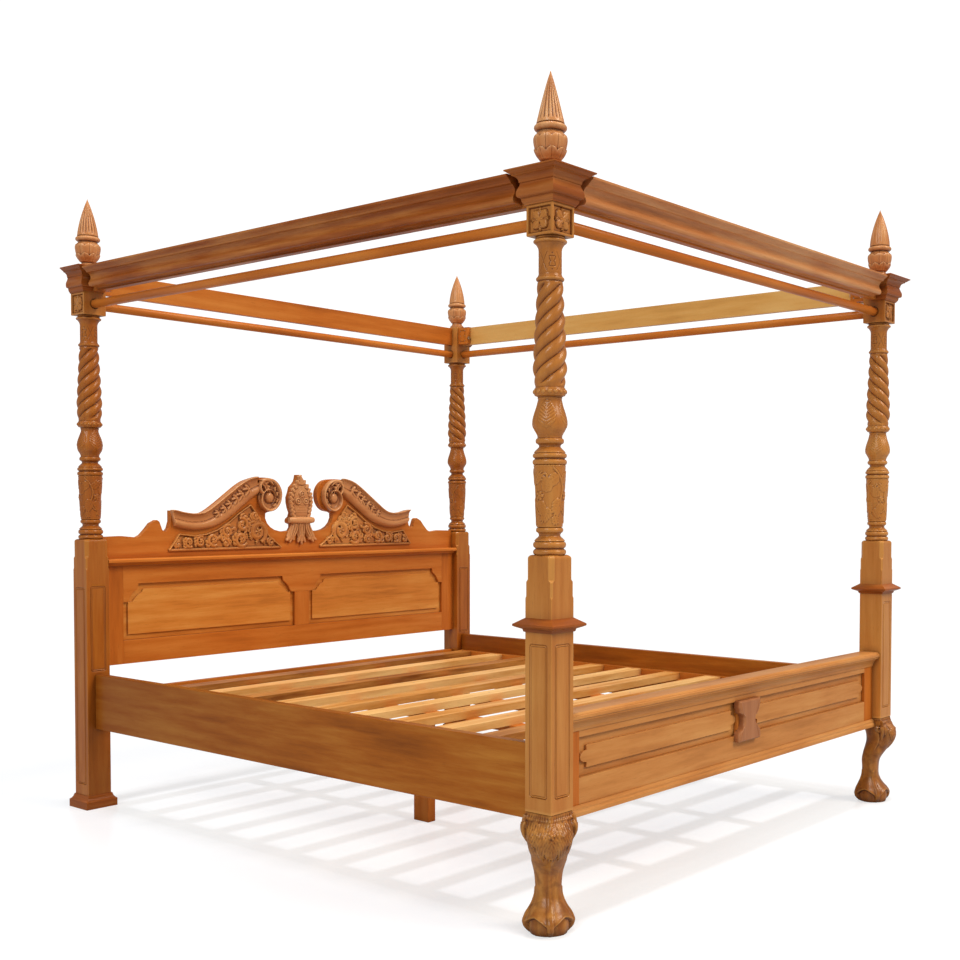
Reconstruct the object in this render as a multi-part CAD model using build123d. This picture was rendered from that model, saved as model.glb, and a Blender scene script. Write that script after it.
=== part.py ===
from build123d import *
import os
from math import pi, cos, sin

# Carved four-poster bed for an 1800 x 2000 mattress. Millimetres, +Z up, head end towards +Y.
# The origin is on the floor, under the middle of the whole bed's box.

os.makedirs("parts", exist_ok=True)

# ---- driving dimensions --------------------------------------------------------------
mattress_width = 1800.0
mattress_length = 2000.0
mattress_side_gap = 5.0
mattress_end_gap = 14.0
post_block = 86.0            # square lower block of each post
top_block = 84.0             # square block under the tester
rail_thick = 28.0
rail_bottom = 279.0
rail_top = 471.0
slat_top = 398.0
slat_thick = 25.0
slat_width = 70.0
slat_count = 11
slat_pitch = 193.0
claw_height = 307.0
plinth_top = 946.0
capital_bottom = 1727.0
tester_bottom = 1806.0
tester_top = 1884.0
tester_thick = 22.0
cap_bottom = 1803.0
cap_top = 1888.0
cap_overhang = 40.0          # corner cap beyond the top block
cornice_overhang = 59.0      # cornice beyond the tester board
finial_tip = 2132.0
rod_radius = 15.0
rod_level = 1765.0
rod_socket = 22.0            # how far a curtain rod goes into a post
base_block = 117.0           # square foot of a head post
frame_thick = 28.0           # headboard and footboard rails and stiles

# ---- worked-out values ---------------------------------------------------------------
rail_inner = mattress_width / 2 + mattress_side_gap
axis_x = rail_inner + rail_thick / 2
half_post = post_block / 2
half_top = top_block / 2
half_span = mattress_length / 2 + mattress_end_gap + half_post
cap_half = half_top + cap_overhang
base_half = base_block / 2
shift_y = (cap_half - base_half) / 2
foot_y = shift_y - half_span
head_y = shift_y + half_span
mid_y = (foot_y + head_y) / 2
face_x = axis_x - half_post                 # inner faces of the posts across the bed
ledger_lip = 25.0
ledger_width = 45.0
slat_bottom = slat_top - slat_thick
slat_reach = rail_inner - ledger_lip - 1.0
corners = {
    "foot_left": (-1, -1),
    "foot_right": (1, -1),
    "head_left": (-1, 1),
    "head_right": (1, 1),
}


def post_at(corner):
    """Plan position of a post's axis."""
    side, end = corners[corner]
    return side * axis_x, (head_y if end > 0 else foot_y)


# ---- helpers -------------------------------------------------------------------------
def block(x0, x1, y0, y1, z0, z1):
    """A box given by its limits, in any order."""
    size = Box(abs(x1 - x0), abs(y1 - y0), abs(z1 - z0))
    return Pos((x0 + x1) / 2, (y0 + y1) / 2, (z0 + z1) / 2) * size


def rod(radius, start, end):
    """A round bar from one point to another."""
    start = Vector(*start)
    run = Vector(*end) - start
    return Solid.make_cylinder(radius, run.length, Plane(origin=start, z_dir=run))


def prism(points, start, run):
    """A flat polygon, given in space, pushed along run."""
    face = Face(Wire.make_polygon([Vector(*p) for p in points], close=True))
    return Solid.extrude(face, Vector(*run))


def across(points, x0, x1):
    """A (y, z) outline drawn out along X."""
    return prism([(x0, y, z) for y, z in points], x0, (x1 - x0, 0, 0))


def upright(points, y0, y1):
    """A closed smooth or straight (x, z) outline drawn out along Y."""
    return prism([(x, y0, z) for x, z in points], y0, (0, y1 - y0, 0))


def turned(points, x, y):
    """A lathe shape from (radius, z) points, closed along its axis."""
    outline = [(0, points[0][1])] + list(points) + [(0, points[-1][1])]
    face = Face(Wire.make_polygon([Vector(r, 0, z) for r, z in outline], close=True))
    return Pos(x, y, 0) * revolve(face, Axis.Z)


def smooth(points, steps=5):
    """A Catmull-Rom line through the points."""
    made = []
    last = len(points) - 1
    for i in range(last):
        before = points[max(i - 1, 0)]
        here = points[i]
        there = points[i + 1]
        after = points[min(i + 2, last)]
        for k in range(steps):
            t = k / steps
            made.append(tuple(
                0.5 * (2 * b + (c - a) * t + (2 * a - 5 * b + 4 * c - d) * t * t
                       + (3 * b - a - 3 * c + d) * t ** 3)
                for a, b, c, d in zip(before, here, there, after)))
    made.append(points[-1])
    return made


def arc_points(cx, cz, radius, start, end, steps=8):
    """Points on a circle between two angles in degrees."""
    angles = [start + (end - start) * k / steps for k in range(steps + 1)]
    return [(cx + radius * cos(a * pi / 180), cz + radius * sin(a * pi / 180)) for a in angles]


def collar_ring(profile, half, x, y):
    """A moulding mitred round a square of the given half width. The profile is (offset, z)."""
    ring = None
    for quarter in range(4):
        reach = half + max(o for o, z in profile)
        strip = across([(-half - o, z) for o, z in profile], -reach, reach)
        wedge = prism([(0, 0, profile[0][1] - 500), (-3 * reach, -3 * reach, profile[0][1] - 500),
                       (3 * reach, -3 * reach, profile[0][1] - 500)], 0, (0, 0, 1000))
        piece = Rot(0, 0, 90 * quarter) * (strip & wedge)
        ring = piece if ring is None else ring + piece
    return Pos(x, y, 0) * ring


def mirrored(points):
    """An outline for x > 0, joined to its mirror image."""
    return list(points) + [(-x, z) for x, z in reversed(points) if x > 0]


def solids_of(shape):
    return [shape] if isinstance(shape, Solid) else list(shape.solids())


def save(name, *shapes):
    """One STEP file for one named piece or group of like pieces."""
    solids = [s for shape in shapes for s in solids_of(shape)]
    whole = solids[0] if len(solids) == 1 else Compound(label=name, children=solids)
    whole.label = name
    export_step(whole, f"parts/{name}.step")


# ---- posts ---------------------------------------------------------------------------
shaft_profile = [
    (36, plinth_top), (42, 950), (42, 958), (36, 964), (41.5, 969), (41.5, 979), (36, 984),
    (26, 994), (35, 1006), (35, 1013), (33.5, 1020), (37, 1080), (40.5, 1166), (43, 1169),
    (43, 1178), (38, 1183), (43.5, 1188), (43.5, 1197), (28, 1213), (35.5, 1223), (35.5, 1232),
    (31, 1240), (34, 1246), (42.3, 1269), (39, 1290), (30, 1318), (29.2, 1328), (36, 1338),
    (42, 1345), (42, 1354), (37, 1361), (41, 1385), (42, 1402), (39, 1480), (35, 1560),
    (31.8, 1616), (36, 1620), (36, 1628), (29, 1634), (29, 1701), (33, 1706), (42, 1714),
    (42, 1721), (36, capital_bottom),
]
finial_dowel = 9.95
finial_bore = 10.0
finial_travel = 50.0
plinth_chamfer = 9.0
chamfer_start = 881.0


def post(corner, bottom):
    """Block, turned shaft and top block in one piece, bored for the finial and two rods."""
    x, y = post_at(corner)
    side, end = corners[corner]
    lower = block(x - half_post, x + half_post, y - half_post, y + half_post, bottom, chamfer_start)
    shoulder = block(x - half_post, x + half_post, y - half_post, y + half_post,
                     chamfer_start, plinth_top)
    shoulder = chamfer(shoulder.edges().filter_by(Axis.Z), plinth_chamfer)
    head = block(x - half_top, x + half_top, y - half_top, y + half_top, capital_bottom, cap_top)
    whole = lower + shoulder + turned(shaft_profile, x, y) + head
    whole -= rod(finial_bore, (x, y, cap_top - finial_travel - 4), (x, y, cap_top + 1))
    whole -= bolt_shank(side, end)
    for dx, dy in ((-side, 0), (0, -end)):
        face = (x + dx * half_top, y + dy * half_top, rod_level)
        inside = tuple(a - d * (rod_socket + 1) for a, d in zip(face, (dx, dy, 0)))
        mouth = tuple(a - d * 3 for a, d in zip(face, (dx, dy, 0)))
        outside = tuple(a + d for a, d in zip(face, (dx, dy, 0)))
        whole -= rod(rod_radius + 0.1, inside, outside)
        whole -= rod(rod_radius + 2.5, mouth, outside)
    whole -= keeper_pocket(side, end)
    return whole


# ---- rail hooks ----------------------------------------------------------------------
plate_width = 20.0
plate_thick = 3.0
plate_bottom = 325.0
plate_top = 455.0
hook_levels = (345.0, 405.0)
hook_height = 24.0
hook_reach = 12.0


def rail_end(end):
    """The plane where a side rail meets a post, and the direction from post to rail."""
    return (head_y - half_post, -1) if end > 0 else (foot_y + half_post, 1)


def keeper(side, end):
    """Slotted steel plate let into the post."""
    face, into = rail_end(end)
    x = side * axis_x
    half = plate_width / 2
    plate = block(x - half, x + half, face, face - into * plate_thick, plate_bottom, plate_top)
    for level in hook_levels:
        plate -= block(x - 2.5, x + 2.5, face + into, face - into * (plate_thick + 1),
                       level - 4, level + hook_height + 4)
    return plate


def hook_plate(side, end):
    """Steel plate let into the rail's end, with two hooks."""
    face, into = rail_end(end)
    x = side * axis_x
    half = plate_width / 2
    plate = block(x - half, x + half, face, face + into * plate_thick, plate_bottom, plate_top)
    for level in hook_levels:
        plate += block(x - 1.5, x + 1.5, face + into, face - into * hook_reach,
                       level, level + hook_height)
    return plate


def keeper_pocket(side, end):
    """What is cut from a post for the keeper and the hooks."""
    face, into = rail_end(end)
    x = side * axis_x
    half = plate_width / 2
    cut = block(x - half, x + half, face + into, face - into * plate_thick, plate_bottom, plate_top)
    for level in hook_levels:
        cut += block(x - 3, x + 3, face, face - into * (hook_reach + 3),
                     level - 5, level + hook_height + 5)
    return cut


# ---- claw legs and post feet -----------------------------------------------------------
rail_edge = 276.0            # lowest edge of the footboard and the rails


def claw_leg(corner):
    """Cabriole leg on a ball foot, bowed out along the corner's diagonal."""
    x, y = post_at(corner)
    side, end = corners[corner]
    levels = [(0, -6, 42), (10, -7, 55), (28, -7, 60), (48, -9, 52), (66, -12, 41),
              (96, -15, 32), (150, -13, 35), (192, 8, 46), (230, 22, 54), (262, 20, 60),
              (288, 6, 56), (claw_height, 0, 42)]
    sections = []
    for z, out, radius in levels:
        step = out / 2 ** 0.5
        centre = Vector(x + side * step, y + end * step, z)
        sections.append(Wire.make_circle(radius, Plane(origin=centre)))
    leg = Solid.make_loft(sections)
    far = 3 * half_post
    under = rail_edge - 1
    leg -= block(x - side * half_post, x - side * far, y - far, y + far, under, claw_height + 1)
    leg -= block(x - far, x + far, y - end * half_post, y - end * far, under, claw_height + 1)
    return leg


base_height = 26.0
base_profile = [(0, base_height), (base_half - half_post, base_height), (10, 30), (6, 36),
                (5, 40), (3, 46), (0, 46)]


def head_base(corner):
    """Square foot with a moulding that holds the bottom of a head post."""
    x, y = post_at(corner)
    foot = block(x - base_half, x + base_half, y - base_half, y + base_half, 0, base_height)
    return foot + collar_ring(base_profile, half_post, x, y)


collar_profile = [(0, 755), (3, 755), (5, 762), (17, 767), (23, 770), (23, 775), (0, 790)]


def foot_collar(corner):
    """Mitred moulding round a foot post's block."""
    x, y = post_at(corner)
    return collar_ring(collar_profile, half_post, x, y)


# ---- finials ---------------------------------------------------------------------------
finial_profile = [
    (30, cap_top + 0.2), (31, 1890), (31, 1898), (25, 1903), (22, 1908), (27, 1917),
    (38, 1935), (43, 1955), (43, 1967), (38, 1976), (30, 1981), (38, 1987), (39.5, 1994),
    (36, 2000), (36.5, 2012), (35, 2030), (29, 2062), (19, 2095), (8, 2120), (2, finial_tip),
]


def finial(corner):
    x, y = post_at(corner)
    dowel = rod(finial_dowel, (x, y, cap_top - finial_travel), (x, y, cap_top + 5))
    return turned(finial_profile, x, y) + dowel


# ---- tester ----------------------------------------------------------------------------
# (offset, z) of the mouldings, from the foot up: fillet, ovolo, sharp edge, cove, top fillets
cornice_profile = [
    (0, 1811), (8, 1811), (8, 1813), (14, 1816), (30, 1816), (34, 1819), (36, 1824), (35, 1830),
    (32, 1835), (29, 1839.5), (27.5, 1845), (28.5, 1851), (32, 1856), (37, 1860), (43, 1862),
    (45, 1866), (50, 1870), (56, 1874), (cornice_overhang, 1876), (cornice_overhang, 1882), (0, 1882),
]
cap_profile = [
    (0, cap_bottom), (3.5, cap_bottom), (3.5, 1805.5), (6.5, 1808.5), (8.5, 1813), (9.5, 1820),
    (14, 1821), (17, 1823.5), (18, 1828), (18, 1834), (17, 1839), (14.5, 1845), (12, 1851),
    (11, 1856.5), (13.5, 1857.5), (13.5, 1861), (15, 1866), (18, 1869.5), (22, 1872.5), (26.5, 1874),
    (26.5, 1876.5), (30, 1878), (33.5, 1880.5), (37, 1883.5), (cap_overhang, 1884.5),
    (cap_overhang, cap_top), (0, cap_top),
]
half_tester = tester_thick / 2
inner_face = axis_x - half_tester


def tester_side(side):
    x = side * axis_x
    board = block(x - half_tester, x + half_tester, foot_y + half_top, head_y - half_top,
                  tester_bottom, tester_top)
    for end in (-1, 1):
        for hole in cleat_screws(side, end):
            board -= hole
    return board


def tester_end(y):
    return block(-axis_x + half_top, axis_x - half_top, y - half_tester, y + half_tester,
                 tester_bottom, tester_top)


def cornice_side(side):
    """Cornice on a side board, from cap to cap."""
    start = foot_y + cap_half
    stop = head_y - cap_half
    outer = axis_x + half_tester
    outline = [(side * (outer + o), start, z) for o, z in cornice_profile]
    return prism(outline, 0, (0, stop - start, 0))


def cornice_foot():
    reach = axis_x - cap_half
    return across([(foot_y - half_tester - o, z) for o, z in cornice_profile], -reach, reach)


def corner_cap(corner):
    """Breakfront cap on the outer faces of a post's top block, flush at the bed's back."""
    x, y = post_at(corner)
    side, end = corners[corner]
    cap = collar_ring(cap_profile, half_top, x, y)
    far = cap_half + 10
    inward = block(x - side * half_tester, x - side * far, y - end * half_tester, y - end * far,
                   1700, 1950)
    cap -= inward
    if end > 0:
        cap -= block(x - far, x + far, y + half_top, y + far, 1700, 1950)
        cap -= block(x - side * half_top, x - side * far, y - far, y + far, 1700, 1950)
    else:
        cap -= block(x - side * half_top, x - side * far, y - half_tester, y + far, 1700, 1950)
    cap -= block(x - half_tester, x + half_tester, y - end * half_top, y - end * far,
                 tester_bottom, tester_top)
    cap -= block(x - half_tester if side > 0 else x + half_tester, x + side * half_top,
                 y - end * half_top, y - end * far, 1700, tester_bottom)
    if end < 0:
        cap -= block(x - side * half_top, x - side * far, y - half_tester, y + half_tester,
                     tester_bottom, tester_top)
    return cap


# ---- tester cleats -----------------------------------------------------------------------
cleat_length = 55.0
cleat_thick = 24.0
cleat_screw_radius = 2.2
bolt_radius = 4.0


def cleat_frame(side, end):
    """Inner face of the board, the post face, and the direction from the post along the board."""
    into = -1 if end > 0 else 1
    post_face = head_y - half_top if end > 0 else foot_y + half_top
    return side * inner_face, post_face, into


def cleat_screws(side, end):
    """Screws through a cleat into its board."""
    x, y, into = cleat_frame(side, end)
    made = []
    for along in (14, 41):
        for z in (1822, 1845, 1868):
            inner = x - side * cleat_thick
            tip = x + side * 14
            place = y + into * along
            made.append(rod(cleat_screw_radius, (inner, place, z), (tip, place, z)))
    return made


def bolt_line(side, end):
    x, y, into = cleat_frame(side, end)
    return x - side * cleat_thick / 2, y, into, 1834.0


def cleat(side, end):
    x, y, into = cleat_frame(side, end)
    body = block(x, x - side * cleat_thick, y, y + into * cleat_length, tester_bottom + 2, tester_top - 2)
    for screw in cleat_screws(side, end):
        body -= screw
    bx, by, into, z = bolt_line(side, end)
    body -= rod(bolt_radius, (bx, by - into, z), (bx, by + into * (cleat_length + 1), z))
    return body


def bolt_shank(side, end):
    """Plain part of the bolt that holds a cleat, and its board, to the post."""
    bx, by, into, z = bolt_line(side, end)
    return rod(bolt_radius, (bx, by - into * 24, z), (bx, by + into * cleat_length, z))


def tester_bolt(side, end):
    bx, by, into, z = bolt_line(side, end)
    far = by + into * cleat_length
    return bolt_shank(side, end) + rod(8, (bx, far, z), (bx, far + into * 5, z))


# ---- curtain rods --------------------------------------------------------------------------
def curtain_rod_across(y):
    reach = axis_x - half_top + rod_socket
    return rod(rod_radius, (-reach, y, rod_level), (reach, y, rod_level))


def curtain_rod_along(x):
    start = foot_y + half_top - rod_socket
    stop = head_y - half_top + rod_socket
    return rod(rod_radius, (x, start, rod_level), (x, stop, rod_level))


# ---- side rails, ledgers and slats ------------------------------------------------------------
slat_places = [mid_y + (k - (slat_count - 1) / 2) * slat_pitch for k in range(slat_count)]
bearer_places = (-327.0, 0.0, 327.0)
bearer_width = 60.0
bearer_thick = 20.0
screw_radius = 2.0
screw_head = 4.0


def side_rail(side):
    x = side * axis_x
    half = rail_thick / 2
    rail = block(x - half, x + half, foot_y + half_post, head_y - half_post, rail_bottom, rail_top)
    for end in (-1, 1):
        face, into = rail_end(end)
        rail -= block(x - plate_width / 2, x + plate_width / 2, face - into,
                      face + into * plate_thick, plate_bottom, plate_top)
    return rail


def ledger(side):
    """Rebated strip along a side rail; the slats lie on its lower shelf."""
    outer = side * rail_inner
    lip = side * (rail_inner - ledger_lip)
    shelf = side * (rail_inner - ledger_width)
    start = foot_y + half_post + 2
    stop = head_y - half_post - 2
    strip = block(outer, shelf, start, stop, slat_bottom - 20, slat_bottom)
    strip += block(outer, lip, start, stop, slat_bottom - 20, slat_top)
    for y in slat_places:
        strip -= slat_screw(side * (slat_reach - 10), y, 14)
    return strip


def slat_screw(x, y, depth):
    """Countersunk screw, its head flush with the slat."""
    shank = rod(screw_radius, (x, y, slat_bottom - depth), (x, y, slat_top - 3))
    cone = Solid.make_cone(screw_radius, screw_head, 3, Plane(origin=(x, y, slat_top - 3)))
    return shank + cone


def screw_places():
    """Plan positions and depths of the slat screws."""
    ends = [(s * (slat_reach - 10), y, 14) for s in (-1, 1) for y in slat_places]
    middles = [(x, y, 14) for x in bearer_places for y in slat_places]
    return ends + middles


def slats():
    made = []
    for y in slat_places:
        slat = block(-slat_reach, slat_reach, y - slat_width / 2, y + slat_width / 2,
                     slat_bottom, slat_top)
        for x, place, depth in screw_places():
            if place == y:
                slat -= slat_screw(x, y, depth)
        made.append(slat)
    return made


def bearer(x):
    first = slat_places[0] - slat_width / 2
    last = slat_places[-1] + slat_width / 2
    half = bearer_width / 2
    board = block(x - half, x + half, first, last, slat_bottom - bearer_thick, slat_bottom)
    for y in slat_places:
        board -= slat_screw(x, y, 14)
    return board


def support_legs():
    """Plain legs under the bearers."""
    top = slat_bottom - bearer_thick
    made = [block(x - 16, x + 16, mid_y - 41, mid_y + 29, 0, top)
            for x in (bearer_places[0], bearer_places[2])]
    made.append(block(-32, 32, mid_y + 123, mid_y + 188, 0, top))
    return made


def head_cross_rail():
    return block(-face_x, face_x, head_y - 14, head_y + 8, 330, 402)


# ---- headboard --------------------------------------------------------------------------------
hb_front = head_y - frame_thick / 2
hb_back = head_y + frame_thick / 2
hb_bottom = 493.0
hb_panel_bottom = 578.0
hb_panel_top = 781.0
hb_bracket = 715.0           # where the shaped corners start
hb_top = 870.0
hb_panel_in = 36.0
hb_panel_out = 804.0
hb_corner = 62.0
crest_setback = 10.5         # front of the crest board behind the headboard's front


def headboard_opening(inset=0.0):
    """(x, z) outline of the right-hand panel opening, with hollow upper corners."""
    left = hb_panel_in + inset
    right = hb_panel_out - inset
    low = hb_panel_bottom + inset
    high = hb_panel_top - inset
    corner = hb_corner
    drop = high - hb_bracket
    hollow = [(0.0, 0.0), (0.30, 0.02), (0.42, 0.22), (0.62, 0.50), (0.92, 0.72), (1.0, 1.0)]
    right_corner = [(right - corner * a, high - drop + drop * b) for a, b in hollow]
    left_corner = [(left + corner * a, high - drop + drop * b) for a, b in reversed(hollow)]
    return [(left, low), (right, low)] + right_corner + left_corner


def flip(points):
    return [(-x, z) for x, z in points]


def headboard_top_rail():
    rail = block(-hb_panel_out, hb_panel_out, hb_front, hb_back, hb_bracket, hb_top)
    for points in (headboard_opening(), flip(headboard_opening())):
        rail -= upright(points, hb_front - 1, hb_back + 1)
    return rail


def panel(points, field, front, back, edge, rise):
    """A flat panel with a raised field."""
    return upright(points, edge, back) + upright(field, front, edge + rise)


def headboard_panel(side):
    turn = flip if side < 0 else list
    return panel(turn(headboard_opening()), turn(headboard_opening(20)),
                 hb_front + 4, hb_back - 8, hb_front + 11, 1)


shelf_profile = [(0, 846), (-8, 848), (-10, 853), (-22, 858), (-28, 860), (-28, 869), (-24, 873),
                 (crest_setback, 873), (crest_setback, hb_top), (0, hb_top)]

crest_front = hb_front + crest_setback
crest_back = crest_front + 25.0
crest_shoulder = [(face_x, hb_top), (face_x, 952), (800, 954), (760, 950), (739, 948), (722, 956),
                  (700, 978), (682, 999), (658, 1011), (648, 1005), (643, 992), (636, 974),
                  (620, 966), (608, 980), (600, 1006), (600, 1046)]
crest_crown = [(600, 1046), (550, 1035), (500, 1031), (455, 1041), (400, 1075), (350, 1111),
               (300, 1146), (262, 1165), (215, 1175), (165, 1176), (125, 1168), (98, 1143),
               (88, 1109), (98, 1072), (124, 1047), (160, 1039), (172, 1034)]
crest_opening = [(173, 1015), (164, 995), (148, 979), (128, 968), (103, 962), (75, 961), (50, 964)]
crest_shield = [(41, 976), (41, 989), (57, 995), (60, 1003), (57, 1012), (46, 1020), (41, 1036),
                (49, 1056), (54, 1077), (55, 1098), (46, 1121), (41, 1140), (29, 1151), (17, 1164),
                (12, 1180), (10, 1191)]
crest_half = crest_shoulder + smooth(crest_crown, 4)[1:] + crest_opening + crest_shield
neck_top = [(155, 1180), (215, 1180), (262, 1170), (300, 1151), (350, 1117), (402, 1080),
            (458, 1044), (505, 1035), (555, 1040), (603, 1049)]
neck_bottom = [(592, 990), (550, 976), (500, 973), (450, 978), (400, 992), (350, 1018),
               (300, 1052), (250, 1084), (205, 1100)]
volute_centre = (158.0, 1109.0)
volute_radius = 71.0
neck_proud = 25.0            # how far each layer of the crest stands off its board
tympanum_proud = 8.0
cartouche_proud = 14.0
tympanum_half = [
    (612, 898), (598, 915), (566, 958), (500, 948), (450, 954), (400, 970), (350, 998),
    (300, 1034), (246, 1066), (218, 1030), (192, 985), (160, 943), (98, 898),
]
cartouche_half = [
    (30, 908), (42, 922), (84, 930), (88, 944), (66, 957), (51, 965), (42, 977), (42, 988),
    (58, 994), (62, 1001), (60, 1011), (47, 1019), (42, 1036), (50, 1056), (55, 1076), (56, 1098),
    (47, 1121), (42, 1141), (30, 1152), (18, 1165), (13, 1180), (11, 1192),
]


def crest_board():
    return upright(mirrored(crest_half), crest_front, crest_back)


def swan_neck(side):
    """Scrolled neck with its volute, on the face of the crest board."""
    turn = flip if side < 0 else list
    outline = smooth(neck_top) + smooth(neck_bottom)
    neck = upright(turn(outline), crest_front - neck_proud, crest_front)
    cx, cz = volute_centre
    centre = (side * cx, crest_front - neck_proud, cz)
    return neck + rod(volute_radius, centre, (side * cx, crest_front, cz))


def tympanum(side):
    turn = flip if side < 0 else list
    return upright(turn(tympanum_half), crest_front - tympanum_proud, crest_front)


def cartouche():
    """Shield with its ledge and hanging leaves, in front of the crest board's middle."""
    return upright(mirrored(cartouche_half), crest_front - cartouche_proud, crest_front)


# ---- footboard --------------------------------------------------------------------------------
fb_front = foot_y - 10.0
fb_back = fb_front + frame_thick
fb_bottom = rail_edge
fb_panel_bottom = 372.0
fb_panel_top = 476.0
fb_top = 530.0
fb_panel_in = 48.0
fb_panel_out = 812.0
cap_front = foot_y - 38.0
cap_back = foot_y + 30.0
cap_rise = 16.0
ornament_thick = 20.0


def footboard_cap():
    """Moulded cap rail with the cove under it."""
    outline = [
        (fb_front, 494), (fb_front - 3, 494), (fb_front - 4, 502), (fb_front - 8, 511),
        (fb_front - 14, 518), (fb_front - 22, 523), (fb_front - 24, 524), (fb_front - 24, fb_top - 2),
        (cap_front, fb_top), (cap_front, fb_top + 8), (cap_front + 3, fb_top + 9),
        (cap_front + 3, fb_top + 11), (cap_front + 5, fb_top + 14), (cap_front + 7, fb_top + cap_rise),
        (cap_back, fb_top + cap_rise), (cap_back, fb_top), (fb_front, fb_top),
    ]
    return across(outline, -face_x, face_x)


def footboard_base():
    outline = [(fb_front, fb_bottom), (fb_front - 12, fb_bottom), (fb_front - 12, 286),
               (fb_front - 8, 291), (fb_front - 8, 296), (fb_front - 3, 303), (fb_front, 303)]
    return across(outline, -face_x, face_x)


def footboard_field():
    """(x, z) outline of the right-hand raised field, with a round nose at each end."""
    low = fb_panel_bottom + 21
    high = fb_panel_top - 24
    middle = (low + high) / 2
    left = 75.0
    right = 778.0
    nose = 28.0
    left_nose = [(left + 2 - nose * sin(k * pi / 6), middle + 16 * cos(k * pi / 6)) for k in range(7)]
    right_nose = [(right - 2 + nose * sin(k * pi / 6), middle - 16 * cos(k * pi / 6)) for k in range(7)]
    return [(left, low), (right, low)] + right_nose + [(right, high), (left, high)] + left_nose


def footboard_panel(side):
    turn = flip if side < 0 else list
    opening = [(fb_panel_in, fb_panel_bottom), (fb_panel_out, fb_panel_bottom),
               (fb_panel_out, fb_panel_top), (fb_panel_in, fb_panel_top)]
    return panel(turn(opening), turn(footboard_field()),
                 fb_front + 4, fb_back - 8, fb_front + 11, 1)


def footboard_ornament():
    """Waisted block over the middle stile."""
    waist = [(62, 354), (64, 374), (60, 384), (46, 392), (36, 404), (34, 418), (38, 432),
             (52, 442), (58, 448), (62, 460), (61, 480)]
    return upright(mirrored(waist), fb_front - ornament_thick, fb_front)


def footboard_stile(x0, x1):
    return block(x0, x1, fb_front, fb_back, fb_bottom, fb_top)


# ---- the whole bed ----------------------------------------------------------------------------
def build():
    for corner in ("foot_left", "foot_right"):
        side = corner.split("_")[1]
        save(f"foot_post_{side}", post(corner, claw_height))
        save(f"claw_leg_{side}", claw_leg(corner))
    for corner in ("head_left", "head_right"):
        side = corner.split("_")[1]
        save(f"head_post_{side}", post(corner, base_height))
    save("head_post_feet", *[head_base(c) for c in ("head_left", "head_right")])
    save("foot_post_collars", *[foot_collar(c) for c in ("foot_left", "foot_right")])
    for corner in corners:
        save(f"finial_{corner}", finial(corner))
        save(f"corner_cap_{corner}", corner_cap(corner))
    save("tester_board_foot", tester_end(foot_y))
    save("tester_board_head", tester_end(head_y))
    save("cornice_foot", cornice_foot())
    for side, name in ((-1, "left"), (1, "right")):
        save(f"tester_board_{name}", tester_side(side))
        save(f"cornice_{name}", cornice_side(side))
        save(f"side_rail_{name}", side_rail(side))
        save(f"curtain_rod_{name}", curtain_rod_along(side * axis_x))
        save(f"headboard_panel_{name}", headboard_panel(side))
        save(f"swan_neck_{name}", swan_neck(side))
        save(f"crest_foliage_{name}", tympanum(side))
    save("curtain_rod_foot", curtain_rod_across(foot_y))
    save("curtain_rod_head", curtain_rod_across(head_y))
    ends = [(side, end) for side in (-1, 1) for end in (-1, 1)]
    save("tester_cleats", *[cleat(*e) for e in ends])
    save("tester_cleat_screws", *[s for e in ends for s in cleat_screws(*e)])
    save("tester_bolts", *[tester_bolt(*e) for e in ends])
    save("rail_hook_plates", *[hook_plate(*e) for e in ends])
    save("rail_keeper_plates", *[keeper(*e) for e in ends])
    save("slat_ledgers", ledger(-1), ledger(1))
    save("slats", *slats())
    save("slat_bearers", *[bearer(x) for x in bearer_places])
    save("slat_screws", *[slat_screw(*p) for p in screw_places()])
    save("support_legs", *support_legs())
    save("head_cross_rail", head_cross_rail())
    save("headboard_top_rail", headboard_top_rail())
    save("headboard_bottom_rail",
         block(-hb_panel_out, hb_panel_out, hb_front, hb_back, hb_bottom, hb_panel_bottom))
    save("headboard_stiles",
         *[block(s * hb_panel_out, s * face_x, hb_front, hb_back, hb_bottom, hb_top) for s in (-1, 1)])
    save("headboard_muntin",
         block(-hb_panel_in, hb_panel_in, hb_front, hb_back, hb_panel_bottom, hb_bracket))
    save("headboard_shelf", across([(hb_front + o, z) for o, z in shelf_profile], -face_x, face_x))
    save("crest_board", crest_board())
    save("cartouche", cartouche())
    save("footboard_cap", footboard_cap())
    save("footboard_base_moulding", footboard_base())
    save("footboard_top_rail",
         block(-fb_panel_out, fb_panel_out, fb_front, fb_back, fb_panel_top, fb_top))
    save("footboard_bottom_rail",
         block(-fb_panel_out, fb_panel_out, fb_front, fb_back, fb_bottom, fb_panel_bottom))
    save("footboard_stiles",
         *[footboard_stile(s * fb_panel_out, s * face_x) for s in (-1, 1)],
         block(-fb_panel_in, fb_panel_in, fb_front, fb_back, fb_panel_bottom, fb_panel_top))
    save("footboard_panels", footboard_panel(-1), footboard_panel(1))
    save("footboard_ornament", footboard_ornament())


build()
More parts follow.
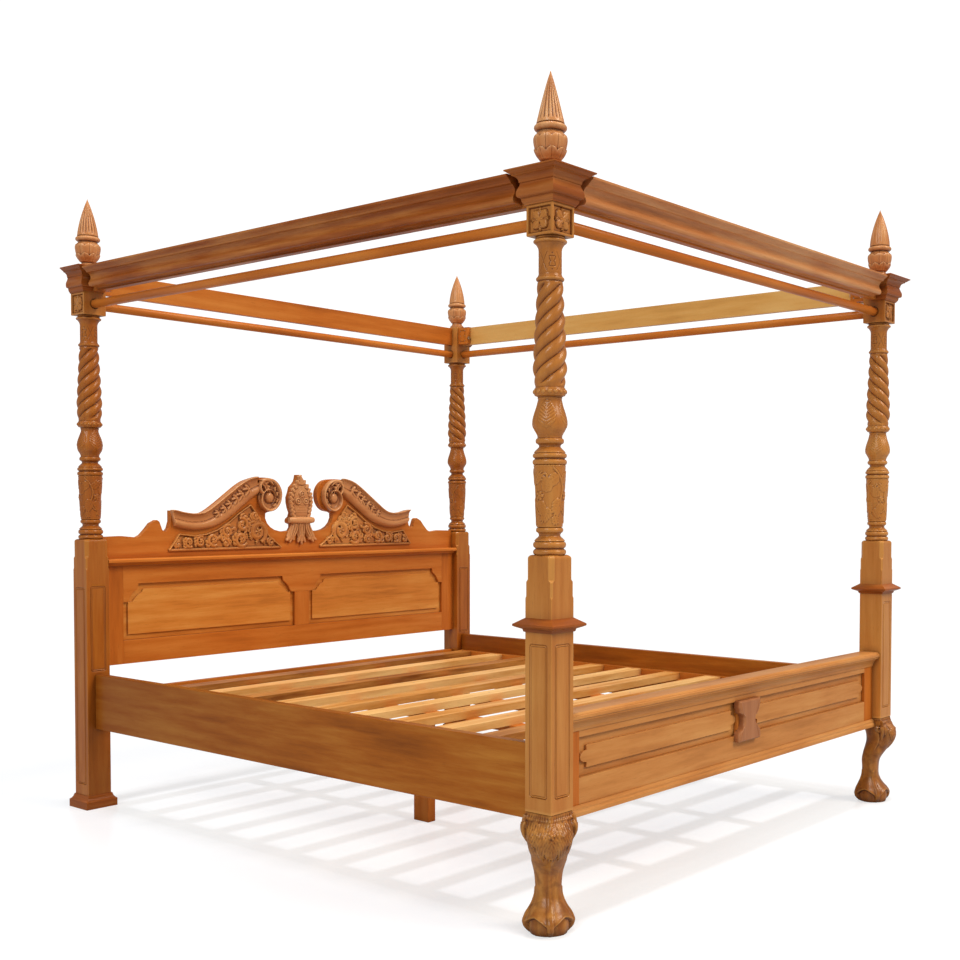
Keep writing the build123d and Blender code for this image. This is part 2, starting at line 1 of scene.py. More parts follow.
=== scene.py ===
import bpy
import bmesh
import numpy as np
from math import pi, sin, cos, radians, atan2
from mathutils import Matrix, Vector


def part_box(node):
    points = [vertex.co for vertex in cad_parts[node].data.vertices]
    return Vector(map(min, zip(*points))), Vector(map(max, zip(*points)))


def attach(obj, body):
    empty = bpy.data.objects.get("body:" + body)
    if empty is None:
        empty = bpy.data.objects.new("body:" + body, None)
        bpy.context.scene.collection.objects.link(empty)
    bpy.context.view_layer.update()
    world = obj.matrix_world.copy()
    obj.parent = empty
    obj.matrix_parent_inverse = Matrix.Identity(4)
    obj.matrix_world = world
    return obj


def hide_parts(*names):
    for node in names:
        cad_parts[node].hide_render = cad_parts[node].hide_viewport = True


# Looks of the carved four-poster bed. Shapes are worked out in millimetres in the CAD's own frame.
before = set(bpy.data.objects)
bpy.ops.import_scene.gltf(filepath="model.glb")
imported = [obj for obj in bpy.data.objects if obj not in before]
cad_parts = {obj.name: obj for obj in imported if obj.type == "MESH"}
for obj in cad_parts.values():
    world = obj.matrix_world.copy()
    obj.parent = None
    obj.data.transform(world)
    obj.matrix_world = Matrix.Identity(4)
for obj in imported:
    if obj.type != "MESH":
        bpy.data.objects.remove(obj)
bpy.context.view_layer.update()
MM = 0.001
BODY = "bed"
CORNERS = {"foot_left": (-1, -1), "foot_right": (1, -1), "head_left": (-1, 1), "head_right": (1, 1)}


def middle(node):
    """Centre of a CAD node's box, in millimetres."""
    low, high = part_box(node)
    return [(a + b) * 500 for a, b in zip(low, high)]


POST_NODE = {"foot_left": "foot_post_left", "foot_right": "foot_post_right",
             "head_left": "head_post_left", "head_right": "head_post_right"}
AXIS = {c: middle(n)[:2] for c, n in POST_NODE.items()}
BOARD_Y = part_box("crest_board")[0][1] / MM      # front face of the headboard and crest board
FOOT_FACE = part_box("footboard_top_rail")[0][1] / MM
HALF_POST = 43.0           # half the width of a post's block
LEG_TOP = 307.0            # where the claw legs end and the foot posts' blocks begin
HEAD_BLOCK_FOOT = 26.0     # where the head posts' blocks begin
BLOCK_TOP, BLOCK_ROUND = 946.0, 9.0
BURIED = 6.0               # how deep a carved bar goes into its board

# ---------------------------------------------------------------- camera, floor and light
CAMERA_AT = (-3305.7, -3056.65, 1067.2)
YAW, PITCH, ROLL = radians(51.556), radians(-1.975), radians(0.178)
SENSOR, LENS = 36.0, 47.19               # millimetres
SHIFT_X, SHIFT_Y = -0.1109, 0.0723       # the picture is cut from beside the lens's axis
SKY_LIGHT = 0.36           # what the white surroundings shed on the bed
FLOOR_GLOW = 0.56          # lifts the open floor to white in the picture
# name, direction, strength, spread in degrees and colour of each lamp
SUNS = [("overhead", (0.02, 0.05, -1.0), 1.15, 4.0, (1.0, 1.0, 1.0)),
        ("front", (-0.35, 0.80, -0.80), 1.75, 24.0, (1.0, 0.86, 0.68)),
        ("side", (1.0, 0.20, -0.70), 1.20, 26.0, (0.97, 1.0, 0.92))]


def add_camera():
    data = bpy.data.cameras.new("camera")
    camera = bpy.data.objects.new("camera", data)
    bpy.context.scene.collection.objects.link(camera)
    ahead = np.array([sin(YAW) * cos(PITCH), cos(YAW) * cos(PITCH), sin(PITCH)])
    right = np.array([cos(YAW), -sin(YAW), 0.0])
    up = np.cross(right, ahead)
    x_axis = right * cos(ROLL) + up * sin(ROLL)
    y_axis = -right * sin(ROLL) + up * cos(ROLL)
    turn = Matrix([list(row) for row in np.array([x_axis, y_axis, -ahead]).T]).to_4x4()
    camera.matrix_world = Matrix.Translation([c * MM for c in CAMERA_AT]) @ turn
    data.sensor_fit = "HORIZONTAL"
    data.sensor_width = SENSOR
    data.lens = LENS
    data.shift_x = SHIFT_X
    data.shift_y = SHIFT_Y
    data.clip_end = 100.0
    bpy.context.scene.camera = camera


def add_sun(name, towards, strength, spread, colour):
    """Soft directional light; the spread is its angle in degrees as seen from the floor."""
    data = bpy.data.lights.new(name, "SUN")
    data.energy = strength
    data.angle = radians(spread)
    data.color = colour
    light = bpy.data.objects.new(name, data)
    bpy.context.scene.collection.objects.link(light)
    away = -np.array(towards, float)
    away /= np.linalg.norm(away)
    side = np.cross([0.0, 1.0, 0.0], away)
    side /= np.linalg.norm(side)
    up = np.cross(away, side)
    light.matrix_world = Matrix([list(row) for row in np.array([side, up, away]).T]).to_4x4()
    return light


def direct_or_shed(tree, socket, shed, direct):
    """Gives a socket one value for the light it sheds on things and another where it is seen directly."""
    rays = tree.nodes.new("ShaderNodeLightPath")
    level = tree.nodes.new("ShaderNodeMapRange")
    level.inputs["To Min"].default_value = shed
    level.inputs["To Max"].default_value = direct
    tree.links.new(rays.outputs["Is Camera Ray"], level.inputs["Value"])
    tree.links.new(level.outputs["Result"], socket)


def add_studio():
    """White surroundings, a lamp straight overhead, two wide soft lamps and a white floor."""
    world = bpy.data.worlds.new("studio")
    bpy.context.scene.world = world
    world.use_nodes = True
    back = world.node_tree.nodes["Background"]
    back.inputs["Color"].default_value = (1.0, 1.0, 1.0, 1.0)
    direct_or_shed(world.node_tree, back.inputs["Strength"], SKY_LIGHT, 1.1)
    for sun in SUNS:
        add_sun(*sun)
    mesh = bpy.data.meshes.new("floor")
    mesh.from_pydata([(-60, -60, 0), (60, -60, 0), (60, 60, 0), (-60, 60, 0)], [], [(0, 1, 2, 3)])
    floor = bpy.data.objects.new("floor", mesh)
    bpy.context.scene.collection.objects.link(floor)
    paper = bpy.data.materials.new("floor_paper")
    paper.use_nodes = True
    shader = paper.node_tree.nodes["Principled BSDF"]
    shader.inputs["Base Color"].default_value = (0.48, 0.50, 0.54, 1.0)
    shader.inputs["Roughness"].default_value = 0.22
    shader.inputs["Specular IOR Level"].default_value = 0.25
    shader.inputs["Emission Color"].default_value = (1.0, 1.0, 1.0, 1.0)
    direct_or_shed(paper.node_tree, shader.inputs["Emission Strength"], 0.0, FLOOR_GLOW)
    floor.data.materials.append(paper)
    bpy.context.scene.view_settings.view_transform = "Standard"
    bpy.context.scene.view_settings.look = "None"


# ---------------------------------------------------------------- materials
class Tree:
    """Short ways to add nodes to one material."""

    def __init__(self, name):
        self.material = bpy.data.materials.new(name)
        self.material.use_nodes = True
        self.nodes = self.material.node_tree.nodes
        self.links = self.material.node_tree.links
        self.shader = self.nodes["Principled BSDF"]

    def add(self, kind, settings=None, **inputs):
        node = self.nodes.new(kind)
        for key, value in (settings or {}).items():
            setattr(node, key, value)
        for key, value in inputs.items():
            self.put(node.inputs[key.replace("_", " ")], value)
        return node

    def put(self, socket, value):
        if hasattr(value, "is_output"):
            self.links.new(value, socket)
        else:
            socket.default_value = value

    def math(self, operation, *values, clamp=False):
        node = self.nodes.new("ShaderNodeMath")
        node.operation = operation
        node.use_clamp = clamp
        for socket, value in zip(node.inputs, values):
            self.put(socket, value)
        return node.outputs[0]

    def vector(self, operation, *values):
        node = self.nodes.new("ShaderNodeVectorMath")
        node.operation = operation
        for socket, value in zip(node.inputs, values):
            self.put(socket, value)
        return node.outputs[0]

    def noise(self, where, scale, detail=4.0, rough=0.55, twist=0.0):
        node = self.add("ShaderNodeTexNoise", None, Vector=where, Scale=scale, Detail=detail,
                        Roughness=rough, Distortion=twist)
        return node.outputs["Fac"]

    def spread(self, value, low, high, to_low=0.0, to_high=1.0):
        node = self.nodes.new("ShaderNodeMapRange")
        for socket, v in zip(node.inputs, (value, low, high, to_low, to_high)):
            self.put(socket, v)
        return node.outputs[0]

    def mix(self, factor, a, b, blend="MIX"):
        node = self.nodes.new("ShaderNodeMix")
        node.data_type = "RGBA"
        node.blend_type = blend
        self.put(node.inputs["Factor"], factor)
        self.put(node.inputs["A"], a)
        self.put(node.inputs["B"], b)
        return node.outputs["Result"]


def srgb(r, g, b):
    """Linear colour of an sRGB one on a 0 to 255 scale."""
    made = []
    for c in (r, g, b):
        c /= 255.0
        made.append(c / 12.92 if c <= 0.04045 else ((c + 0.055) / 1.055) ** 2.4)
    return (*made, 1.0)


GRAIN_SCALE = {"X": (0.085, 1.0, 1.0), "Y": (1.0, 0.085, 1.0), "Z": (1.0, 1.0, 0.085)}


def wood(name, grain, dark, mid, light, seed=0.0, figure=5.0, contrast=0.5, boards=None,
         rough=0.36, carved=False, knots=False, mottle=0.0, coat=0.10, painted_falloff_shade=None):
    """Lacquered timber. boards is (axis, pitch, start) for a node that holds several boards."""
    t = Tree(name)
    place = t.add("ShaderNodeTexCoord").outputs["Object"]
    place = t.vector("ADD", place, (seed * 1.37, seed * 2.11, seed * 0.73))
    if boards:
        axis, pitch, start = boards
        split = t.add("ShaderNodeSeparateXYZ", None, Vector=t.add("ShaderNodeTexCoord").outputs["Object"])
        number = t.math("FLOOR", t.math("DIVIDE", t.math("SUBTRACT", split.outputs[axis], start), pitch))
        chance = t.add("ShaderNodeTexWhiteNoise", {"noise_dimensions": "1D"}, W=t.math("ADD", number, seed))
        place = t.vector("ADD", place, t.vector("MULTIPLY", chance.outputs["Color"], (9.0, 9.0, 9.0)))
        tone = chance.outputs["Value"]
    if grain == "MITRE":
        normal = t.add("ShaderNodeNewGeometry").outputs["Normal"]
        parts = t.add("ShaderNodeSeparateXYZ", None, Vector=normal)
        along_y = t.math("GREATER_THAN", t.math("ABSOLUTE", parts.outputs["X"]),
                         t.math("ABSOLUTE", parts.outputs["Y"]))
        first = t.vector("MULTIPLY", place, GRAIN_SCALE["X"])
        second = t.vector("MULTIPLY", place, GRAIN_SCALE["Y"])
        pick = t.nodes.new("ShaderNodeMix")
        pick.data_type = "VECTOR"
        t.put(pick.inputs["Factor"], along_y)
        t.put(pick.inputs[4], first)
        t.put(pick.inputs[5], second)
        flow = pick.outputs[1]
    else:
        flow = t.vector("MULTIPLY", place, GRAIN_SCALE[grain])
    # growth figure: contour lines of a slow, stretched noise
    slow = t.noise(flow, figure, 2.0, 0.45, 0.35)
    rings = t.math("SINE", t.math("MULTIPLY", slow, 46.0))
    rings = t.spread(rings, -1.0, 1.0)
    streak = t.noise(flow, 42.0, 6.0, 0.62)
    fibre = t.noise(flow, 420.0, 3.0, 0.6)
    tint = t.noise(place, 2.3, 2.0, 0.5)
    amount = t.math("ADD", t.math("MULTIPLY", rings, 0.24 * contrast),
                    t.math("MULTIPLY", t.spread(streak, 0.28, 0.72), 0.76 * contrast))
    amount = t.math("ADD", amount, t.math("MULTIPLY", t.spread(tint, 0.3, 0.7), 0.28))
    amount = t.math("ADD", amount, t.spread(tone, 0.0, 1.0, -0.26, 0.46) if boards else 0.1)
    amount = t.math("ADD", amount, 0.36 * (1 - contrast) - 0.12, clamp=True)
    ramp = t.nodes.new("ShaderNodeValToRGB")
    ramp.color_ramp.elements[0].color = dark
    ramp.color_ramp.elements[1].color = light
    middle_stop = ramp.color_ramp.elements.new(0.5)
    middle_stop.color = mid
    t.put(ramp.inputs["Fac"], amount)
    colour = ramp.outputs["Color"]
    pores = t.spread(fibre, 0.60, 0.74)
    colour = t.mix(t.math("MULTIPLY", pores, 0.30), colour, dark)
    if knots:
        cells = t.add("ShaderNodeTexVoronoi", None, Vector=t.vector("MULTIPLY", flow, (2.2, 2.2, 2.2)),
                      Scale=0.9)
        knot = t.spread(cells.outputs["Distance"], 0.02, 0.10, 1.0, 0.0)
        colour = t.mix(t.math("MULTIPLY", knot, 0.55), colour, dark)
    # painted shade: colour darkens along one axis, standing in for light falling off towards the far end
    if painted_falloff_shade:
        axis, start, finish, share = painted_falloff_shade
        split = t.add("ShaderNodeSeparateXYZ", None, Vector=t.add("ShaderNodeTexCoord").outputs["Object"])
        colour = t.mix(t.spread(split.outputs[axis], start, finish, 0.0, share), colour, dark)
    if mottle:
        cloud = t.spread(t.noise(place, 34.0, 4.0, 0.6, 0.6), 0.42, 0.66)
        colour = t.mix(t.math("MULTIPLY", cloud, mottle), colour, dark)
    # painted shade: colour darkened where the surface is occluded, under things and where parts meet, and on
    # carved pieces in the hollows (partly patina, mostly painted shade); raised carved points lightened (partly
    # wear, partly painted highlight)
    shade = t.add("ShaderNodeAmbientOcclusion", {"samples": 4}, Distance=0.03).outputs["AO"]
    shade = t.spread(shade, 0.25, 0.95, 0.66 if carved else 0.34, 0.0)
    if carved:
        hollow = t.add("ShaderNodeAttribute", {"attribute_name": "hollow"}).outputs["Fac"]
        # painted shade in the carving's hollows, partly patina
        cut = t.spread(hollow, 0.04, 0.60, 0.0, 0.90)
        shade = t.math("MAXIMUM", shade, cut)
        # raised points lightened: partly rubbed wear, partly a painted highlight on the ridges
        wear_and_painted_highlight = t.spread(hollow, -0.10, -0.7, 0.0, 0.45)
        colour = t.mix(wear_and_painted_highlight, colour, light)
    # dark colour that the painted shade darkens towards
    painted_shade_colour = t.mix(1.0, dark, (0.62, 0.50, 0.45, 1.0), "MULTIPLY")
    colour = t.mix(shade, colour, painted_shade_colour)
    t.put(t.shader.inputs["Base Color"], colour)
    gloss = t.spread(streak, 0.3, 0.7, rough + 0.07, rough - 0.05)
    gloss = t.math("ADD", gloss, t.math("MULTIPLY", shade, 0.18))
    t.put(t.shader.inputs["Roughness"], gloss)
    t.shader.inputs["Coat Weight"].default_value = coat
    t.shader.inputs["Coat Roughness"].default_value = 0.22
    t.shader.inputs["Specular IOR Level"].default_value = 0.2 if carved else 0.1
    height = t.math("ADD", t.math("MULTIPLY", pores, -0.6), t.math("MULTIPLY", streak, 0.5))
    bump = t.add("ShaderNodeBump", None, Strength=0.22, Distance=0.0006, Height=height)
    t.put(t.shader.inputs["Normal"], bump.outputs["Normal"])
    return t.material


def steel(name, tone, rough):
    t = Tree(name)
    place = t.add("ShaderNodeTexCoord").outputs["Object"]
    cloud = t.noise(place, 90.0, 5.0)
    scratch = t.noise(t.vector("MULTIPLY", place, (30.0, 900.0, 900.0)), 1.0, 2.0)
    worn = t.mix(t.spread(cloud, 0.35, 0.65), tone, (tone[0] * 0.6, tone[1] * 0.55, tone[2] * 0.5, 1))
    t.put(t.shader.inputs["Base Color"], worn)
    t.shader.inputs["Metallic"].default_value = 1.0
    t.put(t.shader.inputs["Roughness"], t.spread(scratch, 0.3, 0.7, rough - 0.08, rough + 0.12))
    bump = t.add("ShaderNodeBump", None, Strength=0.15, Distance=0.0003, Height=scratch)
    t.put(t.shader.inputs["Normal"], bump.outputs["Normal"])
    return t.material


# ---------------------------------------------------------------- mesh tools
def smooth_line(points, steps=6):
    """Catmull-Rom line through points of any dimension, as an array."""
    p = np.asarray(points, float)
    before = np.vstack([p[:1], p[:-1]])
    after = np.vstack([p[2:], p[-1:]])
    made = []
    for i in range(len(p) - 1):
        t = np.linspace(0, 1, steps, endpoint=False)[:, None]
        a, b, c, d = before[i], p[i], p[i + 1], after[min(i, len(after) - 1)]
        made.append(0.5 * (2 * b + (c - a) * t + (2 * a - 5 * b + 4 * c - d) * t ** 2
                           + (3 * b - a - 3 * c + d) * t ** 3))
    made.append(p[-1:])
    return np.vstack(made)


def along(points, count=None, step=None):
    """The same line with evenly spaced points."""
    p = np.asarray(points, float)
    run = np.concatenate([[0], np.cumsum(np.linalg.norm(np.diff(p, axis=0), axis=1))])
    n = count or max(2, int(round(run[-1] / step)) + 1)
    at = np.linspace(0, run[-1], n)
    return np.stack([np.interp(at, run, p[:, k]) for k in range(p.shape[1])], axis=1)


def grid_quads(rows, cols):
    """Faces of a grid of points that closes on itself across its columns."""
    r = np.arange(rows - 1)[:, None]
    c = np.arange(cols)[None, :]
    n = (c + 1) % cols
    quads = np.stack([r * cols + c, r * cols + n, (r + 1) * cols + n, (r + 1) * cols + c], axis=-1)
    return quads.reshape(-1, 4)


def tube_shell(rings):
    """(verts, faces) of a skin through equal rings of points, with closed ends."""
    rings = np.asarray(rings, float)
    rows, cols = rings.shape[:2]
    verts = rings.reshape(-1, 3)
    faces = grid_quads(rows, cols).tolist()
    faces.append(list(range(cols))[::-1])
    faces.append([(rows - 1) * cols + k for k in range(cols)])
    return verts, faces


def merge(shells):
    verts, faces, start = [], [], 0
    for v, f in shells:
        verts.append(np.asarray(v, float))
        faces.extend([[i + start for i in face] for face in f])
        start += len(v)
    return np.vstack(verts), faces


def make_mesh(name, verts, faces):
    mesh = bpy.data.meshes.new(name)
    mesh.from_pydata((np.asarray(verts, float) * MM).tolist(), [], faces)
    tidy = bmesh.new()
    tidy.from_mesh(mesh)
    bmesh.ops.recalc_face_normals(tidy, faces=tidy.faces)
    tidy.to_mesh(mesh)
    tidy.free()
    return mesh


def add_piece(name, mesh, material, nodes, body=BODY, sharp=None):
    """A finished piece on its body, standing for CAD nodes."""
    piece = bpy.data.objects.new(name, mesh)
    bpy.context.scene.collection.objects.link(piece)
    mesh.materials.clear()
    mesh.materials.append(material)
    mesh.polygons.foreach_set("use_smooth", np.full(len(mesh.polygons), True))
    if sharp:
        mesh.set_sharp_from_angle(angle=radians(sharp))
    mesh.update()
    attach(piece, body)
    if nodes:
        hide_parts(*nodes)
    return piece


def read_points(mesh):
    points = np.empty(len(mesh.vertices) * 3)
    mesh.vertices.foreach_get("co", points)
    return points.reshape(-1, 3)


def relaxed(mesh, points, rounds, share=0.6):
    """Points moved towards the mean of their neighbours."""
    ends = np.empty(len(mesh.edges) * 2, int)
    mesh.edges.foreach_get("vertices", ends)
    a, b = ends[0::2], ends[1::2]
    n = len(points)
    count = np.bincount(a, minlength=n) + np.bincount(b, minlength=n)
    count = np.maximum(count, 1)[:, None]
    for _ in range(rounds):
        total = np.stack([np.bincount(a, points[b, k], n) + np.bincount(b, points[a, k], n)
                          for k in range(3)], axis=1)
        points = points + share * (total / count - points)
    return points


def mark_hollows(mesh, rounds=10, depth=1.2):
    """Stores how far each point lies below (+) or above (-) its smoothed surroundings."""
    points = read_points(mesh)
    normals = np.empty(len(mesh.vertices) * 3)
    mesh.vertices.foreach_get("normal", normals)
    away = relaxed(mesh, points, rounds) - points
    hollow = np.einsum("ij,ij->i", away, normals.reshape(-1, 3)) / (depth * MM)
    layer = mesh.attributes.new("hollow", "FLOAT", "POINT")
    layer.data.foreach_set("value", np.clip(hollow, -1, 1).astype(np.float32))


def remeshed(name, shells, voxel, rounds=2):
    """Overlapping closed shells joined into one skin and softened, as a knife leaves wood."""
    verts, faces = merge(shells)
    rough_mesh = make_mesh(name + "_rough", verts, faces)
    helper = bpy.data.objects.new(name + "_rough", rough_mesh)
    bpy.context.scene.collection.objects.link(helper)
    change = helper.modifiers.new("join", "REMESH")
    change.mode = "VOXEL"
    change.voxel_size = voxel * MM
    change.adaptivity = 0.0
    ready = helper.evaluated_get(bpy.context.evaluated_depsgraph_get())
    mesh = bpy.data.meshes.new_from_object(ready)
    bpy.data.objects.remove(helper)
    bpy.data.meshes.remove(rough_mesh)
    mesh.name = name
    points = relaxed(mesh, read_points(mesh), rounds, 0.5)
    mesh.vertices.foreach_set("co", points.ravel())
    mesh.update()
    mark_hollows(mesh)
    return mesh


def cut_holes(piece, tools):
    """Takes closed tool meshes away from a piece."""
    for verts, faces in tools:
        tool = bpy.data.objects.new("tool", make_mesh("tool", verts, faces))
        bpy.context.scene.collection.objects.link(tool)
        change = piece.modifiers.new("cut", "BOOLEAN")
        change.operation = "DIFFERENCE"
        change.solver = "EXACT"
        change.object = tool
        ready = piece.evaluated_get(bpy.context.evaluated_depsgraph_get())
        mesh = bpy.data.meshes.new_from_object(ready)
        piece.modifiers.clear()
        old = piece.data
        piece.data = mesh
        bpy.data.meshes.remove(old)
        bpy.data.objects.remove(tool)
    return piece


def drill(start, end, radius, cols=40):
    """Closed round tool between two points, in millimetres."""
    a, b = np.array(start, float), np.array(end, float)
    run = (b - a) / np.linalg.norm(b - a)
    side = np.cross(run, [0, 0, 1.0] if abs(run[2]) < 0.9 else [1.0, 0, 0])
    side /= np.linalg.norm(side)
    other = np.cross(run, side)
    angles = np.linspace(0, 2 * pi, cols, endpoint=False)
    ring = np.outer(np.cos(angles), side) + np.outer(np.sin(angles), other)
    return tube_shell([a + ring * radius, b + ring * radius])


# ---------------------------------------------------------------- carving strokes
def rise(strokes, u, v, period=None):
    """Height in mm over a flat or rolled-out surface. A stroke is (line, widths, height)."""
    height = np.zeros(u.shape)
    v_row = v[:, 0]
    for line, widths, top in strokes:
        line = np.asarray(line, float)
        widths = np.broadcast_to(widths, len(line)) if np.ndim(widths) else np.full(len(line), widths)
        reach = widths.max()
        low = np.searchsorted(v_row, line[:, 1].min() - reach)
        high = np.searchsorted(v_row, line[:, 1].max() + reach)
        if high <= low:
            continue
        uu, vv = u[low:high], v[low:high]
        best = np.zeros(uu.shape)
        for i in range(len(line) - 1):
            (ax, ay), (bx, by) = line[i], line[i + 1]
            du, dv = bx - ax, by - ay
            size = du * du + dv * dv + 1e-9
            pu = uu - ax
            if period:
                pu = (pu + period / 2) % period - period / 2
            pv = vv - ay
            t = np.clip((pu * du + pv * dv) / size, 0, 1)
            far = np.hypot(pu - t * du, pv - t * dv)
            w = widths[i] + (widths[i + 1] - widths[i]) * t
            best = np.maximum(best, 1 - (far / np.maximum(w, 0.05)) ** 2)
        height[low:high] = np.maximum(height[low:high], top * np.sqrt(np.clip(best, 0, 1)))
    return height


def arc_line(cx, cy, radius, start, end, count=10):
    a = np.radians(np.linspace(start, end, count))
    return np.stack([cx + radius * np.cos(a), cy + radius * np.sin(a)], axis=1)


def spiral_line(cx, cy, outer, inner, start, sweep, count=26):
    """A coil that winds in from its outer radius. Angles are in degrees."""
    a = np.radians(start + sweep * np.linspace(0, 1, count))
    r = outer + (inner - outer) * np.linspace(0, 1, count) ** 0.85
    return np.stack([cx + r * np.cos(a), cy + r * np.sin(a)], axis=1)


def taper(count, wide, start=0.35, end=0.12, peak=0.4):
    """Widths of a leaf-like stroke."""
    t = np.linspace(0, 1, count)
    up = start + (1 - start) * np.sin(np.clip(t / peak, 0, 1) * pi / 2)
    down = end + (1 - end) * np.cos(np.clip((t - peak) / (1 - peak), 0, 1) * pi / 2)
    return wide * np.where(t < peak, up, down)


def acanthus(x, y, length, width, turn, lobes=4, top=3.0, bend=0.0):
    """Strokes of a leaf that starts at (x, y) and grows in direction turn (degrees)."""
    strokes = []
    a = radians(turn)
    ahead = np.array([cos(a), sin(a)])
    side = np.array([-sin(a), cos(a)])

    def at(s, w):
        curve = bend * s * s * length
        return np.array([x, y]) + ahead * (s * length) + side * (w + curve)

    rib = np.array([at(s, 0) for s in np.linspace(0, 1, 8)])
    strokes.append((rib, taper(8, width * 0.16, 0.8, 0.3, 0.2), top * 1.05))
    for k in range(lobes):
        s0 = 0.02 + 0.78 * k / lobes
        reach = width * 0.5 * (1.0 - 0.62 * (k / lobes) ** 1.3) * (0.8 if k == 0 else 1.0)
        for hand in (-1, 1):
            line = np.array([at(s0 + 0.05 * q + 0.17 * q * q, hand * reach * (q ** 0.8))
                             for q in np.linspace(0, 1, 6)])
            strokes.append((line, taper(6, width * 0.15, 0.55, 0.35, 0.6), top * (0.95 - 0.08 * (k % 2))))
    return strokes


def rosette(x, y, radius, petals, top=3.0, turn=0.0, centre=0.3):
    strokes = []
    for k in range(petals):
        a = radians(turn) + 2 * pi * k / petals
        line = np.array([[x + cos(a) * r, y + sin(a) * r] for r in np.linspace(radius * 0.2, radius * 0.8, 5)])
        strokes.append((line, taper(5, radius * 1.5 / petals ** 0.85, 0.4, 0.55, 0.7), top))
    strokes.append((np.array([[x - 0.1, y], [x + 0.1, y]]), radius * centre, top * 1.45))
    return strokes


# ---------------------------------------------------------------- posts
# (radius, z) of the turned shaft; each bead or cove is worked out from its limits
def bead(z0, z1, r0, bulge, count=9):
    a = np.linspace(0, pi, count)
    return [(r0 + bulge * sin(q), (z0 + z1) / 2 - (z1 - z0) / 2 * cos(q)) for q in a]


def cove(r0, z0, r1, z1, depth, count=9):
    t = np.linspace(0, 1, count)
    return [(r0 + (r1 - r0) * q - depth * sin(q * pi), z0 + (z1 - z0) * q) for q in t]


TWIST_LOW, TWIST_HIGH = 1361.0, 1617.0
TWIST_PITCH = 160.0
VASE = [(31.0, 1240), (34.5, 1247), (40.0, 1257), (42.2, 1269), (41.0, 1282), (37.0, 1297),
        (32.0, 1312), (29.0, 1326), (31.0, 1333)]
TWIST_BODY = [(36.0, 1361), (39.5, 1375), (42.6, 1402), (41.6, 1440), (39.2, 1490), (36.5, 1540),
              (33.8, 1590), (32.0, 1612), (30.5, 1617)]
DRUM_LOW, DRUM_HIGH = 1016.0, 1167.0


def shaft_line():
    line = [(37.0, 944)]
    line += bead(946, 960, 36.0, 5.2)
    line += bead(963, 979, 35.5, 5.6)
    line += [(38.6, 981), (34.0, 986), (28.6, 990.5), (26.4, 994), (27.4, 998), (29.4, 1000.5)]
    line += bead(1001, 1014, 29.4, 4.6)
    line += [(32.6, DRUM_LOW), (33.6, 1022), (35.6, 1070), (38.4, 1125), (40.4, 1160), (40.4, DRUM_HIGH)]
    line += bead(1168, 1182, 37.5, 5.2)
    line += bead(1185, 1197, 37.5, 5.0)
    line += [(39.6, 1199), (35.0, 1204.5), (29.6, 1209.5), (26.6, 1213), (27.2, 1217), (30.0, 1219.5)]
    line += bead(1220, 1234, 30.5, 4.8)
    line += smooth_line(VASE).tolist()
    line += cove(29.6, 1333, 35.0, 1338, 1.5, 5)
    line += bead(1338, 1358, 36.0, 5.4)
    line += smooth_line(TWIST_BODY).tolist()
    line += bead(1619, 1629, 30.6, 4.6)
    line += cove(31.8, 1629, 28.8, 1641, 1.4, 6)
    line += [(28.8, 1650), (28.8, 1688)]
    line += cove(28.8, 1689, 37.2, 1711, 2.8)
    line += bead(1711, 1720, 36.8, 5.2)
    line += bead(1721, 1727, 34.6, 2.4, 6)
    line += [(36.0, 1727.6), (36.0, 1729)]
    return np.array(line)


def soft_step(x, low, high):
    t = np.clip((x - low) / (high - low), 0, 1)
    return t * t * (3 - 2 * t)


def shaft_relief(angle, z, hand):
    """Carving of the shaft in millimetres, over angle (radians) and height."""
    relief = np.zeros(angle.shape)
    # four fat strands of barley twist that die away at both ends
    phase = (4 * (angle - hand * 2 * pi * z / TWIST_PITCH) / (2 * pi)) % 1.0
    across = 2 * phase - 1
    strand = 0.6 * np.sqrt(1 - 0.96 * across ** 2) + 0.4 * np.cos(across * pi / 2)
    swell = soft_step(z, TWIST_LOW, TWIST_LOW + 16) * (1 - soft_step(z, TWIST_HIGH - 12, TWIST_HIGH))
    relief += swell * (strand - 1.0) * 10.0
    # round studs on the ring below the twist
    turn = ((angle * 16 / (2 * pi)) % 1.0 - 0.5) * 16.5
    stud = np.sqrt(np.clip(1 - (turn ** 2 + (z - 1348) ** 2) / 5.6 ** 2, 0, 1))
    on_ring = soft_step(z, 1338, 1341) * (1 - soft_step(z, 1355, 1358))
    relief += on_ring * (2.6 * stud - 1.2)
    # upright palm leaves on the vase
    turn = (angle * 4 / (2 * pi)) % 1.0 - 0.5
    up = (z - 1258) / 70.0
    width = 0.40 * np.sqrt(np.clip(np.sin(np.clip(up, 0, 1) * pi), 0, 1))
    inside = soft_step(width - np.abs(turn), 0.0, 0.05) * (up > 0) * (up < 1)
    veins = np.abs(np.sin(pi * (8.0 * up - 5.5 * np.abs(turn))))
    rib = np.exp(-(turn / 0.03) ** 2)
    relief += inside * (0.5 + 1.3 * veins ** 0.6 * (1 - rib) + 1.1 * rib)
    return relief


